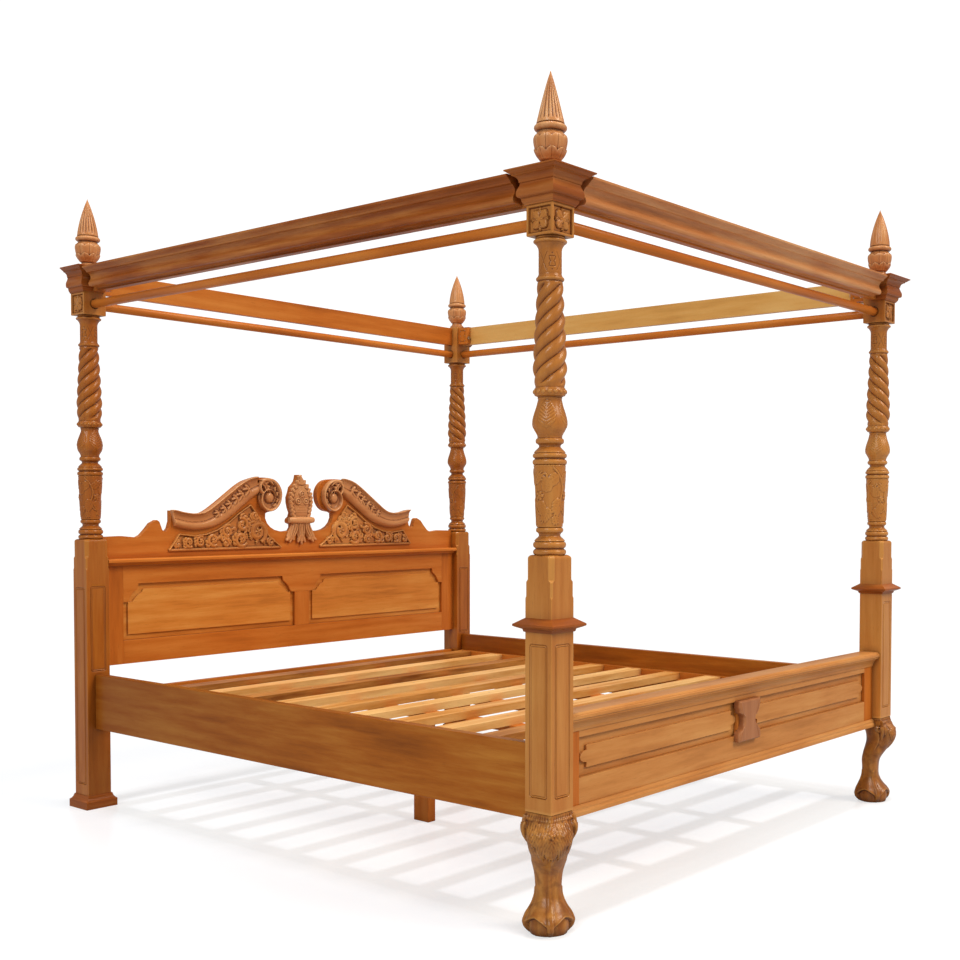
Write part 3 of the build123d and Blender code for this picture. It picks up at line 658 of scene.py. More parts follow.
def drum_strokes(period):
    """Flowers, stems and curling leaves round the drum."""
    strokes = []
    width = period / 3
    for k in range(3):
        x = k * width
        strokes += rosette(x + 0.62 * width, 1092, 12, 5, 2.6)
        stem = smooth_line([(x + 0.10 * width, 1160), (x + 0.26 * width, 1146), (x + 0.42 * width, 1122),
                            (x + 0.44 * width, 1100), (x + 0.36 * width, 1076), (x + 0.50 * width, 1052),
                            (x + 0.70 * width, 1046)])
        strokes.append((stem, taper(len(stem), 3.0, 0.6, 0.5, 0.5), 2.2))
        strokes += acanthus(x + 0.24 * width, 1140, 34, 30, 210, 4, 1.7, 0.25)
        strokes += acanthus(x + 0.44 * width, 1124, 36, 26, 62, 4, 1.7, -0.2)
        strokes += acanthus(x + 0.36 * width, 1080, 44, 34, 235, 5, 1.8, 0.2)
        strokes += acanthus(x + 0.62 * width, 1078, 38, 30, 280, 5, 1.8, 0.15)
        strokes += acanthus(x + 0.92 * width, 1060, 40, 30, 250, 5, 1.7, -0.15)
        strokes += acanthus(x + 0.86 * width, 1104, 40, 30, 80, 5, 1.7, 0.15)
        strokes += acanthus(x + 0.16 * width, 1040, 24, 24, 285, 3, 1.6)
        strokes.append((spiral_line(x + 0.80 * width, 1140, 12, 3, 200, 420), 2.2, 1.8))
    return strokes


# (share of a panel's width, z) of the two kinds of groove round a post's neck
NECK_CURVE = [(0.22, 1688), (0.08, 1674), (0.0, 1665), (-0.08, 1656), (-0.22, 1643)]
SUNK_PANEL = [(0.58, 1677), (0.92, 1677), (0.92, 1671), (0.84, 1665), (0.92, 1659), (0.92, 1653),
              (0.58, 1653), (0.58, 1659), (0.66, 1665), (0.58, 1671), (0.58, 1677)]


def neck_strokes(period):
    """Grooves of the neck: crossed curves and tall panels with a dot at each end. Heights are depths."""
    strokes = []
    width = period / 4
    for k in range(4):
        x = k * width
        for hand in (-1, 1):
            curve = smooth_line([(x + (0.24 + hand * lean) * width, z) for lean, z in NECK_CURVE], 4)
            strokes.append((curve, 1.1, 1.1))
        for z in (1685, 1645):
            strokes.append(([(x + 0.75 * width - 0.2, z), (x + 0.75 * width + 0.2, z)], 2.0, 1.6))
        sunk = [(x + across * width, z) for across, z in SUNK_PANEL]
        strokes.append((sunk, 1.3, 1.5))
    return strokes


def lathe_piece(name, line, cols, step, relief, centre, material, nodes, body=BODY):
    """A turned and carved piece round a vertical axis."""
    path = along(line, step=step)
    angles = np.linspace(0, 2 * pi, cols, endpoint=False)
    angle, z = np.meshgrid(angles, path[:, 1])
    radius = path[:, 0][:, None] + relief(angle, z, path[:, 0][:, None] + 0 * angle)
    radius = np.maximum(radius, 0.4)
    rings = np.stack([centre[0] + radius * np.cos(angle), centre[1] + radius * np.sin(angle), z], axis=-1)
    mesh = make_mesh(name, *tube_shell(rings))
    mark_hollows(mesh, 8)
    return add_piece(name, mesh, material, nodes, body)


SHAFT_COLS = 176
DRUM_RADIUS, NECK_RADIUS = 37.0, 28.8
SHAFT_TURN = {"foot_left": 0.3, "foot_right": 1.1, "head_left": 0.7, "head_right": 0.1}


def add_shaft(corner, material):
    hand = 1 if CORNERS[corner][0] < 0 else -1
    turn = SHAFT_TURN[corner]
    drum_period = 2 * pi * DRUM_RADIUS
    neck_period = 2 * pi * NECK_RADIUS
    drum = drum_strokes(drum_period)
    neck = neck_strokes(neck_period)

    def relief(angle, z, radius):
        rolled = (hand * angle + turn) % (2 * pi)
        total = shaft_relief(angle + turn * hand, z, hand)
        on_drum = soft_step(z, DRUM_LOW, DRUM_LOW + 4) * (1 - soft_step(z, DRUM_HIGH - 4, DRUM_HIGH))
        total += on_drum * (rise(drum, rolled * DRUM_RADIUS, z, drum_period) - 1.0)
        return total - rise(neck, rolled * NECK_RADIUS, z, neck_period)

    lathe_piece("shaft_" + corner, shaft_line(), SHAFT_COLS, 1.4, relief, AXIS[corner], material,
                [POST_NODE[corner]])


def face_columns(half):
    """Places across a post's face, close together where the grooves run."""
    edge = np.linspace(-half, -34, 4, endpoint=False)
    groove = np.linspace(-34, -17, 14, endpoint=False)
    centre = np.linspace(-17, 17, 9, endpoint=False)
    return np.concatenate([edge, groove, centre, -groove[::-1], -edge[::-1]])


GROOVES = {
    "foot": {"side": (345, 725), "end": (345, 725)},
    "head": {"side": (84, 775), "end": (483, 779)},
}


def groove_depth(u, z, low, high):
    """Two incised lines round a tall panel with clipped corners."""
    half, clip = 28.5, 4.0
    mid, tall = (low + high) / 2, (high - low) / 2
    a, b = np.abs(u), np.abs(z - mid)

    def line(inset, width, depth):
        edge = np.maximum(np.maximum(a - half + inset, b - tall + inset),
                          (a + b - (half + tall - clip - inset * 1.4)) / 1.414)
        return depth * np.clip(1 - np.abs(edge) / width, 0, 1)

    return np.maximum(line(0.0, 2.0, 2.4), line(5.0, 1.5, 1.6))


def add_post_block(corner, material):
    """Lower block of a post, with its stopped chamfers, round shoulders and incised panels."""
    side = CORNERS[corner][0]
    kind = corner.split("_")[0]
    cx, cy = AXIS[corner]
    bottom = LEG_TOP if kind == "foot" else HEAD_BLOCK_FOOT
    limits = GROOVES[kind]
    fine = []
    for low, high in limits.values():
        fine += [np.arange(low - 4, low + 14, 1.3), np.arange(high - 14, high + 4, 1.3)]
    levels = [np.arange(bottom, 935, 9.0), np.array([bottom]), np.arange(836, 846, 1.2),
              np.arange(876, 888, 1.2),
              BLOCK_TOP - BLOCK_ROUND + BLOCK_ROUND * np.sin(np.linspace(0, pi / 2, 9))]
    z = np.unique(np.round(np.concatenate(levels + fine), 3))
    z = z[np.concatenate([[True], np.diff(z) > 0.5])]
    z = z[(z >= bottom) & (z <= BLOCK_TOP)]
    rings = []
    us = face_columns(HALF_POST)
    for level in z:
        over = np.clip((level - BLOCK_TOP + BLOCK_ROUND) / BLOCK_ROUND, 0, 1)
        half = HALF_POST - BLOCK_ROUND * (1 - np.sqrt(max(0.0, 1 - over ** 2)))
        chamfer = 1.2 + 3.0 * soft_step(level, 838, 844) + 6.0 * soft_step(level, 878, 886)
        ring = []
        for nx, ny in ((0, -1), (1, 0), (0, 1), (-1, 0)):
            tx, ty = -ny, nx
            u = us / HALF_POST * (half - chamfer)
            outward = half * np.ones_like(u)
            if nx == side or ny == -1:
                low, high = limits["side" if nx == side else "end"]
                outward -= groove_depth(us, level, low, high)
            ring.append(np.stack([cx + nx * outward + tx * u, cy + ny * outward + ty * u,
                                  np.full_like(u, level)], axis=1))
        rings.append(np.vstack(ring))
    mesh = make_mesh("block_" + corner, *tube_shell(rings))
    mark_hollows(mesh, 2, 1.0)
    add_piece("block_" + corner, mesh, material, [POST_NODE[corner]], sharp=32)


def add_post_head(corner, material):
    """Square block under the tester: a flower in a sunk panel on its outer side face (and on the foot face of a
    foot post), and the rod holes.
    """
    side, end = CORNERS[corner]
    cx, cy = AXIS[corner]
    half = 42.0
    z = np.concatenate([[1727.0, 1728.5], np.arange(1730, 1804, 1.3), [1830.0, 1886.5, 1888.0]])
    us = np.concatenate([[-half], np.arange(-half + 1.3, half - 1, 1.3), [half]])
    u, v = np.meshgrid(us, z)
    strokes = []
    for quarter in range(4):
        a = radians(45 + 90 * quarter)
        for bend in (-0.34, 0.0, 0.34):
            petal = [(27 * s * cos(a + bend * sin(s * pi)), 1765 + 27 * s * sin(a + bend * sin(s * pi)))
                     for s in np.linspace(0.2, 1, 6)]
            strokes.append((petal, taper(6, 6.2, 0.6, 0.4, 0.6), 6.6 - abs(bend) * 3))
        b = radians(90 * quarter)
        strokes += acanthus(13 * cos(b), 1765 + 13 * sin(b), 18, 13, 90 * quarter, 3, 4.2)
    strokes += rosette(0, 1765, 12.0, 6, 7.4, 0, 0.42)
    flower = rise(strokes, u, v)
    edge = np.maximum(np.abs(u) - 36.5, np.abs(v - 1765) - 32.0)
    sunk = 6.0 * (1 - soft_step(edge, -2.0, 0.0))
    carving = np.minimum(flower - sunk, 0.6) * (1 - soft_step(edge, -1.0, 0.4))
    rings = []
    for row, level in enumerate(z):
        size = half - (1.4 if level in (z[0], z[-1]) else 0.0)
        ring = []
        for nx, ny in ((0, -1), (1, 0), (0, 1), (-1, 0)):
            tx, ty = -ny, nx
            outward = np.full(len(us), size)
            if nx == side or (end < 0 and ny == end):
                outward = outward + carving[row]
            across_u = np.clip(us, -size + 0.8, size - 0.8)
            ring.append(np.stack([cx + nx * outward + tx * across_u, cy + ny * outward + ty * across_u,
                                  np.full(len(us), level)], axis=1))
        rings.append(np.vstack(ring))
    mesh = make_mesh("post_head_" + corner, *tube_shell(rings))
    piece = add_piece("post_head_" + corner, mesh, material, [POST_NODE[corner]])
    tools = [drill((cx, cy, 1834), (cx, cy, 1890), 10.0)]
    for dx, dy in ((-side, 0), (0, -end)):
        for radius, depth in ((15.15, 23.0), (18.0, 4.0)):
            tools.append(drill((cx + dx * (half - depth), cy + dy * (half - depth), 1765),
                               (cx + dx * (half + 2), cy + dy * (half + 2), 1765), radius, 48))
    cut_holes(piece, tools)
    piece.data.name = "post_head_" + corner
    piece.data.polygons.foreach_set("use_smooth", np.full(len(piece.data.polygons), True))
    piece.data.set_sharp_from_angle(angle=radians(38))
    mark_hollows(piece.data, 6, 1.4)


# ---------------------------------------------------------------- finials
FINIAL_STYLE = {"foot_left": (1.0, 1.0), "foot_right": (0.0, 0.25), "head_left": (0.35, 0.9),
                "head_right": (0.0, 0.25)}


def add_finial(corner, material):
    """Disc, leaf cup, collar and spire. The style sets how straight and how fluted the spire is."""
    straight, flute = FINIAL_STYLE[corner]
    line = [(9.9, 1838.5), (9.9, 1888.2), (29.5, 1888.2), (31.0, 1889.8), (31.0, 1896.5), (29.0, 1898.5),
            (25.0, 1901), (22.0, 1907)]
    line += smooth_line([(22.0, 1907), (25.5, 1916), (33.0, 1926), (39.0, 1940), (42.3, 1955), (42.8, 1966),
                         (40.0, 1975), (34.0, 1980), (29.0, 1983)]).tolist()
    line += bead(1984, 2001, 30.5, 10.5, 11)
    spire = []
    for t in np.linspace(0, 1, 26):
        cone = 35.2 * (1 - t) ** 0.84
        bullet = 35.2 * (1 - t ** 1.75) ** 0.92 * (1 - 0.10 * t)
        spire.append((max(1.2, straight * cone + (1 - straight) * bullet), 2003 + 127.5 * t))
    line += spire + [(0.5, 2131.8)]

    def relief(angle, z, radius):
        lower = 1930 + 9 * np.abs(np.cos(4 * angle))
        upper = 1964 + 8 * np.abs(np.cos(4 * angle + pi / 2))
        on_cup = (z > 1909) & (z < 1981)
        tier = 3.2 * (1 - soft_step(z, lower, lower + 2.5)) * soft_step(z, 1909, 1915)
        tier = tier + 2.4 * (1 - soft_step(z, upper, upper + 2.5)) * soft_step(z, 1909, 1915)
        crease = -1.1 * np.exp(-(np.sin(4 * angle) / 0.10) ** 2) * (z < lower)
        crease = crease - 1.1 * np.exp(-(np.cos(4 * angle) / 0.10) ** 2) * (z > lower)
        cup = np.where(on_cup, tier - 2.8 + crease, 0.0)
        wave = 1 - np.abs(np.cos(9 * angle + 0.35 * np.sin(3 * angle) + 0.01 * (z - 2000)))
        grown = soft_step(z, 2006, 2018) * (1 - soft_step(z, 2088, 2128))
        return cup - flute * 4.2 * grown * wave ** 2 * np.clip(radius / 24.0, 0.25, 1)

    node = "finial_" + corner
    lathe_piece("spire_" + corner, np.array(line), 128, 1.5, relief, AXIS[corner], material,
                [node], body=node)


# ---------------------------------------------------------------- claw-and-ball legs
# height, offset outward, radius outward, radius sideways, squareness (0 round, 1 square)
LEG_SECTIONS = [
    (0, -7, 49, 49, 0), (5, -7, 53, 53, 0), (14, -7, 58, 58, 0), (27, -7, 60, 61, 0), (38, -7, 59, 60, 0),
    (50, -9, 53, 55, 0), (62, -12, 45, 47, 0), (78, -14, 36, 39, 0.02), (96, -15, 30, 34, 0.10),
    (122, -14.5, 30, 34, 0.22), (150, -13, 33, 37, 0.26), (175, -3, 38, 43, 0.22), (196, 10, 44, 49, 0.16),
    (216, 20, 48, 56, 0.12), (240, 24, 53, 61, 0.14), (262, 19, 56, 62, 0.22), (280, 8, 57, 61, 0.5),
    (293, 1.5, 59, 60, 0.85), (298, 0, 59, 59, 1.0), (LEG_TOP, 0, 59, 59, 1.0)]


def round_bar(path, radii, place, cols=12, flat=1.0):
    """Closed bar through (outward, sideways, z) points, mapped by place. Its section stands across the path."""
    path = np.asarray(path, float)
    step = np.gradient(path, axis=0)
    step /= np.linalg.norm(step, axis=1)[:, None]
    a = np.linspace(0, 2 * pi, cols, endpoint=False)
    loops = []
    for point, along_path, r in zip(path, step, radii):
        first = np.cross(along_path, [0.0, 1.0, 0.0])
        first /= np.linalg.norm(first) + 1e-9
        second = np.cross(along_path, first)
        ring = point + r * (np.outer(np.cos(a), first) + flat * np.outer(np.sin(a), second))
        loops.append(place(ring[:, 0], ring[:, 1], ring[:, 2]))
    return tube_shell(loops)


def add_claw_leg(corner, material):
    """Cabriole leg in one mass: leafy knee with scrolled ears, ridged shin, broad foot over a ball."""
    side, end = CORNERS[corner]
    cx, cy = AXIS[corner]
    out = np.array([side, end]) / 2 ** 0.5
    tan = np.array([-end, side]) / 2 ** 0.5

    def place(o, t, z):
        o, t, z = np.broadcast_arrays(np.asarray(o, float), np.asarray(t, float), np.asarray(z, float))
        return np.stack([cx + out[0] * o + tan[0] * t, cy + out[1] * o + tan[1] * t, z], axis=-1)

    z = np.arange(0.0, LEG_TOP + 0.1, 1.5)
    profile = smooth_line(LEG_SECTIONS, 5)
    offset, outward, sideways, square = (np.interp(z, profile[:, 0], profile[:, k])[:, None]
                                         for k in range(1, 5))
    phi = np.linspace(-pi, pi, 190, endpoint=False)[None, :]
    zz = np.broadcast_to(z[:, None], (len(z), phi.shape[1]))
    power = 2.0 / (1.0 + square)
    scale = (np.abs(np.cos(phi)) ** power + np.abs(np.sin(phi)) ** power) ** (-1 / power)
    scale = np.where(square < 0.02, 1.0, scale)
    radius = scale * np.hypot(outward * np.cos(phi), sideways * np.sin(phi))
    # foot: ridges run down into four claws, the skin between them ends in an arch over the ball
    near = np.abs(((phi / (pi / 2) + 0.5) % 1.0) - 0.5) * 2          # 0 on a claw, 1 between two
    away = near * (pi / 4) * radius
    arch = 44 - 26 * (1 - near) ** 1.6
    skin = soft_step(zz, arch - 1.0, arch + 2.0)
    lip = 1.6 * np.exp(-((zz - arch - 3.5) / 3.0) ** 2) * (zz < 70)
    ball = np.sqrt(np.clip(55.0 ** 2 - (zz - 22.0) ** 2, 30.0 ** 2, None)) * (1 - 0.05 * (1 - near))
    claw_width = np.interp(z, [0, 6, 16, 34, 52, 96, 130, 190],
                           [4.0, 6.0, 8.5, 10.0, 9.5, 6.0, 4.0, 3.0])[:, None]
    claw_rise = np.interp(z, [0, 5, 14, 28, 40, 52, 66, 96, 130, 190, 210],
                          [0.0, 2.0, 5.5, 7.0, 5.0, 4.6, 3.8, 2.6, 1.6, 1.4, 0.0])[:, None]
    front_only = np.where(zz > 112, np.exp(-(phi / 0.5) ** 4), 1.0)
    ridge = claw_rise * front_only * np.sqrt(np.clip(1 - (away / claw_width) ** 2, 0, 1))
    foot = (ball - 1.0) * (1 - skin) + (radius + lip) * skin
    claw = np.where(away < claw_width, radius - 0.5 + ridge, 0.0)
    radius = np.where(zz < 80, np.maximum(foot, claw), radius + ridge)
    # knee: leaves laid over both faces, a flower on the corner and a reeded band under the post
    knee = []
    for hand in (-1, 1):
        knee += acanthus(hand * 26, 292, 84, 46, -90 - hand * 6, 7, 5.2, 0.10 * hand)
        knee += acanthus(hand * 12, 252, 62, 34, -90 - hand * 4, 6, 5.0, -0.05 * hand)
        knee += acanthus(hand * 58, 288, 70, 38, -90 - hand * 12, 6, 4.8, -0.12 * hand)
        knee += acanthus(hand * 40, 240, 50, 30, -90 - hand * 10, 5, 4.6)
        knee += acanthus(hand * 74, 262, 44, 28, -90 - hand * 20, 4, 4.4)
        knee.append((spiral_line(hand * 34, 268, 17, 3, 90, -hand * 420), 3.4, 6.0))
        knee.append((spiral_line(hand * 64, 246, 12, 3, 90, hand * 400), 2.8, 5.4))
    knee += rosette(0, 262, 12, 5, 7.5)
    knee += acanthus(0, 292, 34, 26, -90, 5, 6.0)
    knee += acanthus(0, 246, 48, 22, -90, 5, 5.6)
    carved = rise(knee, 62.0 * phi + 0 * zz, zz)
    fan = 0.115 * np.abs(62.0 * phi) + 0.050 * (zz - 200) + 0.4 * np.sin(zz / 13.0)
    carved = carved - 2.6 * (1 - np.abs(np.sin(pi * fan))) ** 2
    reach = soft_step(zz, 178, 200) * (1 - soft_step(zz, 285, 289)) * (np.abs(phi) < 2.0)
    reeds = 3.0 * np.abs(np.sin(21 * phi)) * soft_step(zz, 289, 291) * (1 - soft_step(zz, 302, 304))
    radius = radius + (carved - 3.0) * reach + reeds
    o = offset + radius * np.cos(phi)
    t = radius * np.sin(phi)
    shells = [tube_shell(place(o, t, zz))]
    for hand in (-1, 1):
        coil = spiral_line(4, 274, 20, 4, 110, 400, 34)
        path = np.stack([coil[:, 0], hand * np.linspace(54, 62, 34), coil[:, 1]], axis=1)
        shells.append(round_bar(path, np.linspace(8.5, 5.0, 34), place, 10))
        drop = smooth_line([(0, 58, 297), (3, 62, 285), (6, 64, 267), (7, 61, 251), (8, 54, 237),
                            (9, 48, 226)], 5)
        drop[:, 1] *= hand
        n = len(drop)
        shells.append(round_bar(drop, 8.0 * (1 - 0.6 * np.linspace(0, 1, n) ** 2), place, 12, 1.2))
        for k in range(3):
            leaf = smooth_line([(-6 + 10 * k, 60, 295 - 6 * k), (-12 + 14 * k, 66, 281 - 7 * k),
                                (-14 + 16 * k, 62, 263 - 8 * k)], 5)
            leaf[:, 1] *= hand
            shells.append(round_bar(leaf, taper(len(leaf), 5.5, 0.7, 0.4, 0.5), place, 10))
    name = "claw_foot_" + corner.split("_")[1]
    mesh = remeshed(name, shells, 1.6, 1)
    points = read_points(mesh)
    inner = HALF_POST * MM
    low = points[:, 2] > 276 * MM
    px = (points[:, 0] - cx * MM) * side
    py = (points[:, 1] - cy * MM) * end
    points[:, 0] = np.where(low & (px < -inner), cx * MM - side * inner, points[:, 0])
    points[:, 1] = np.where(low & (py < -inner), cy * MM - end * inner, points[:, 1])
    points[:, 2] = np.clip(points[:, 2], 0.0, LEG_TOP * MM)
    mesh.vertices.foreach_set("co", points.ravel())
    mesh.update()
    add_piece(name, mesh, material, ["claw_leg_" + corner.split("_")[1]])


# ---------------------------------------------------------------- carving on the headboard
def relief_tube(line, widths, front, height, cols=12):
    """Closed rounded bar lying on a board: line is (x, z), front the y it lies at, height its rise."""
    line = np.asarray(line, float)
    n = len(line)
    widths = np.full(n, widths) if np.ndim(widths) == 0 else np.asarray(widths)
    heights = np.full(n, height) if np.ndim(height) == 0 else np.asarray(height)
    fronts = np.full(n, front) if np.ndim(front) == 0 else np.asarray(front)
    step = np.gradient(line, axis=0)
    step /= np.linalg.norm(step, axis=1)[:, None] + 1e-9
    a = np.linspace(0, 2 * pi, cols, endpoint=False)
    loops = []
    for (x, z), w, h, y, (tx, tz) in zip(line, widths, heights, fronts, step):
        lift = np.where(np.sin(a) > 0, np.sin(a) * h, np.sin(a) * BURIED)
        loops.append(np.stack([x - tz * w * np.cos(a), y - lift, z + tx * w * np.cos(a)], axis=1))
    first = loops[0] * 0.15 + loops[0].mean(axis=0) * 0.85
    last = loops[-1] * 0.15 + loops[-1].mean(axis=0) * 0.85
    return tube_shell([first] + loops + [last])


def strokes_as_tubes(strokes, front):
    """Carving strokes as bars on a board; lines of few points are smoothed first."""
    made = []
    for line, widths, height in strokes:
        count = len(line)
        if count < 12:
            widths = np.interp(np.linspace(0, 1, (count - 1) * 3 + 1), np.linspace(0, 1, count),
                               np.broadcast_to(widths, count))
            line = smooth_line(line, 3)
        made.append(relief_tube(line, widths, front, height))
    return made


def plate(points, front, back):
    """Closed flat plate from an (x, z) outline."""
    outline = np.asarray(points, float)
    n = len(outline)
    verts = [(x, front, z) for x, z in outline] + [(x, back, z) for x, z in outline]
    faces = [[k, (k + 1) % n, n + (k + 1) % n, n + k] for k in range(n)]
    faces += [list(range(n))[::-1], [n + k for k in range(n)]]
    return np.array(verts, float), faces


def mirror_x(shells):
    made = []
    for verts, faces in shells:
        flipped = np.array(verts, float)
        flipped[:, 0] *= -1
        made.append((flipped, [list(f)[::-1] for f in faces]))
    return made


VOLUTE = (164.0, 1097.0)        # middle of the right-hand volute, x and z
GARLAND_LEAVES = 6
NECK_TOP = [(603, 1049), (585, 1047), (555, 1040), (505, 1035), (458, 1044), (402, 1080), (350, 1117),
            (300, 1151), (262, 1170), (220, 1180)]
NECK_LOW = [(590, 988), (575, 984), (548, 977), (505, 972), (452, 976), (398, 991), (345, 1020),
            (292, 1058), (250, 1088), (214, 1110)]
# depth in front of the board across the neck, from its lower edge (-1) to its upper edge (1)
NECK_SECTION = [(-1.0, -2), (-1.0, 6), (-0.93, 11), (-0.80, 16), (-0.62, 19.5), (-0.42, 20.5), (-0.24, 19),
                (-0.12, 15.5), (-0.07, 12), (-0.02, 12), (0.03, 14.5), (0.2, 13.5), (0.45, 13.5), (0.66, 15.5),
                (0.80, 19), (0.90, 23.5), (0.96, 25), (1.0, 23.5), (1.0, -2)]
# (angle in degrees, outer radius) round the volute, then the depth across its band
VOLUTE_RADIUS = [(58, 82), (90, 76), (135, 62), (180, 53), (225, 51), (270, 56), (315, 50), (360, 42),
                 (405, 37), (450, 33), (495, 28.5), (540, 25), (600, 22), (700, 20)]
VOLUTE_SECTION = [(-1.0, -2), (-1.0, 12), (-0.7, 11.5), (-0.3, 12), (0.15, 14), (0.42, 19), (0.6, 24.5),
                  (0.8, 27), (0.95, 26), (1.0, 24), (1.0, -2)]


def swan_neck_shells():
    """The right-hand neck with its volute, garland and leaf."""
    top = along(smooth_line(NECK_TOP), 70)
    low = along(smooth_line(NECK_LOW), 70)
    section = np.array(NECK_SECTION)
    rings = []
    for p, q in zip(top, low):
        share = (section[:, 0:1] + 1) / 2
        place = q + (p - q) * share
        rings.append(np.stack([place[:, 0], BOARD_Y - section[:, 1], place[:, 1]], axis=1))
    shells = [tube_shell(rings)]
    angles = np.array([a for a, r in VOLUTE_RADIUS], float)
    radii = np.array([r for a, r in VOLUTE_RADIUS], float)
    section = np.array(VOLUTE_SECTION)
    rings = []
    for a in np.arange(58, 600, 6.0):
        outer = np.interp(a, angles, radii)
        inner = min(max(15.0, np.interp(a + 360, angles, radii) - 1.0), outer - 7)
        r = inner + (outer - inner) * (section[:, 0] + 1) / 2
        q = radians(a)
        rings.append(np.stack([VOLUTE[0] + r * cos(q), BOARD_Y - section[:, 1], VOLUTE[1] + r * sin(q)],
                              axis=1))
    shells.append(tube_shell(rings))
    phi = np.linspace(0, 2 * pi, 48, endpoint=False)

    def disc(radius, lift):
        return np.stack([VOLUTE[0] + radius * np.cos(phi), np.full(48, BOARD_Y - lift),
                         VOLUTE[1] + radius * np.sin(phi)], axis=1)

    shells.append(tube_shell([disc(48, -2), disc(48, 11)]))
    shells.append(tube_shell([disc(21 * (1 - t ** 2.4) ** 0.5 + 0.3, 10 + 15 * t)
                              for t in np.linspace(0, 1, 9)]))
    # leaf that turns over on to the volute
    curl = smooth_line([(196, 1112), (209, 1130), (208, 1150), (192, 1164), (168, 1163), (148, 1148)], 6)
    shells.append(relief_tube(curl, taper(len(curl), 7.0, 0.8, 0.5, 0.5), BOARD_Y - 12, 15.0))
    shells += strokes_as_tubes(acanthus(196, 1160, 52, 34, 212, 3, 9.0, 0.4), BOARD_Y - 14)
    for x, z, turn in ((140, 1138, 250), (128, 1118, 262), (124, 1092, 285), (134, 1070, 320)):
        shells += strokes_as_tubes(acanthus(x, z, 20, 14, turn, 2, 7.0, 0.3), BOARD_Y - 14)
    # garland of three-lobed leaves that hang down the neck
    for k in range(GARLAND_LEAVES):
        i = int(round(61 - k * 5.6))
        base = low[i] + (top[i] - low[i]) * 0.54
        back = low[i - 3] + (top[i - 3] - low[i - 3]) * 0.54
        heading = np.degrees(atan2(back[1] - base[1], back[0] - base[0]))
        size = 36.0 - 2.6 * k
        for bend, length in ((-62, 0.72), (-24, 0.92), (24, 0.92), (62, 0.72)):
            q = radians(heading + bend)
            tip = base + size * length * np.array([cos(q), sin(q)])
            bent = base + size * 0.5 * length * np.array([cos(q + bend * 0.004), sin(q + bend * 0.004)])
            line = smooth_line([base, bent, tip], 5)
            shells.append(relief_tube(line, taper(len(line), size * 0.19, 0.5, 0.45, 0.7), BOARD_Y - 12.5, 9.5))
        shells.append(relief_tube([base - 0.5, base, base + 0.5], size * 0.20, BOARD_Y - 13, 11.0))
    return shells


TYMPANUM = [(612, 898), (596, 918), (568, 957), (500, 949), (450, 955), (400, 971), (350, 999),
            (300, 1035), (247, 1067), (217, 1030), (190, 985), (160, 943), (99, 898)]
# x, z, radius, start angle and sweep of each scroll
SCROLLS = [(226, 1026, 18, 200, 420), (212, 962, 44, 250, -470), (286, 990, 28, 60, 430),
           (150, 918, 17, 180, -400), (292, 933, 30, 210, 450), (356, 966, 26, 120, -440),
           (362, 920, 18, 20, 400), (420, 934, 26, 230, 430), (476, 927, 21, 120, -420),
           (526, 926, 20, 230, 420), (574, 918, 13, 120, -380)]


def tympanum_shells():
    """Scrolling leaves with flowers in a thin frame, the right-hand one."""
    shells = [plate(TYMPANUM, BOARD_Y - 1.0, BOARD_Y + 1)]
    for k in range(len(TYMPANUM)):
        a, b = np.array(TYMPANUM[k], float), np.array(TYMPANUM[(k + 1) % len(TYMPANUM)], float)
        flat = abs(b[1] - a[1]) < 1
        width, high = (6.5, 7.0) if flat else (3.8, 9.0)
        shells.append(relief_tube([a, a * 0.5 + b * 0.5, b], width, BOARD_Y - 1, high, 8))
    strokes = []
    for x, z, r, start, sweep in SCROLLS:
        coil = spiral_line(x, z, r, r * 0.30, start, sweep, 30)
        strokes.append((coil, taper(30, r * 0.24 + 3.0, 0.7, 0.9, 0.2), 9.5))
        strokes += rosette(x, z, r * 0.40, 5, 10.0)
        hand = 1 if sweep > 0 else -1
        for j in range(6):
            i = 1 + j * 2
            tangent = coil[i + 1] - coil[i - 1]
            tangent = tangent / (np.linalg.norm(tangent) + 1e-9)
            away = np.array([tangent[1], -tangent[0]]) * hand
            size = r * (0.58 if j % 2 else 0.74)
            line = smooth_line([coil[i], coil[i] + away * size * 0.6 + tangent * size * 0.2,
                                coil[i] + away * size * 0.7 + tangent * size * 0.95], 4)
            if line[:, 1].min() < 904 or inside_gap(line[-1]) < 5:
                continue
            strokes.append((line, taper(len(line), r * 0.20 + 2.8, 0.6, 0.3, 0.5), 8.6))
    for row, z in enumerate(range(912, 1040, 22)):
        for column in range(19):
            x = 118 + 27 * column + 13 * (row % 2)
            if not 128 < x < 572 or inside_gap((x, z)) < 24 or z < 922:
                continue
            leaf = acanthus(x, z, 24, 17, 40 + 75 * column + 50 * row, 3, 7.4, 0.4 * (-1) ** column)
            ends = np.array([line[-1] for line, widths, height in leaf])
            if min(inside_gap(end) for end in ends) > 6 and ends[:, 1].min() > 904 and ends[:, 0].max() < 590:
                strokes += leaf
    for line, widths, height in strokes:
        shells.append(relief_tube(line, widths, BOARD_Y - 0.5, height, 8))
    return shells


def inside_gap(point):
    """How far a point lies under the tympanum's upper edge."""
    edge = sorted(TYMPANUM[2:], key=lambda p: p[0])
    return np.interp(point[0], [p[0] for p in edge], [p[1] for p in edge]) - point[1]


SHIELD_EDGE = [(44, 1019), (43, 1036), (50, 1055), (55, 1076), (55, 1098), (48, 1120), (42, 1141), (31, 1151),
               (19, 1164), (14, 1172)]


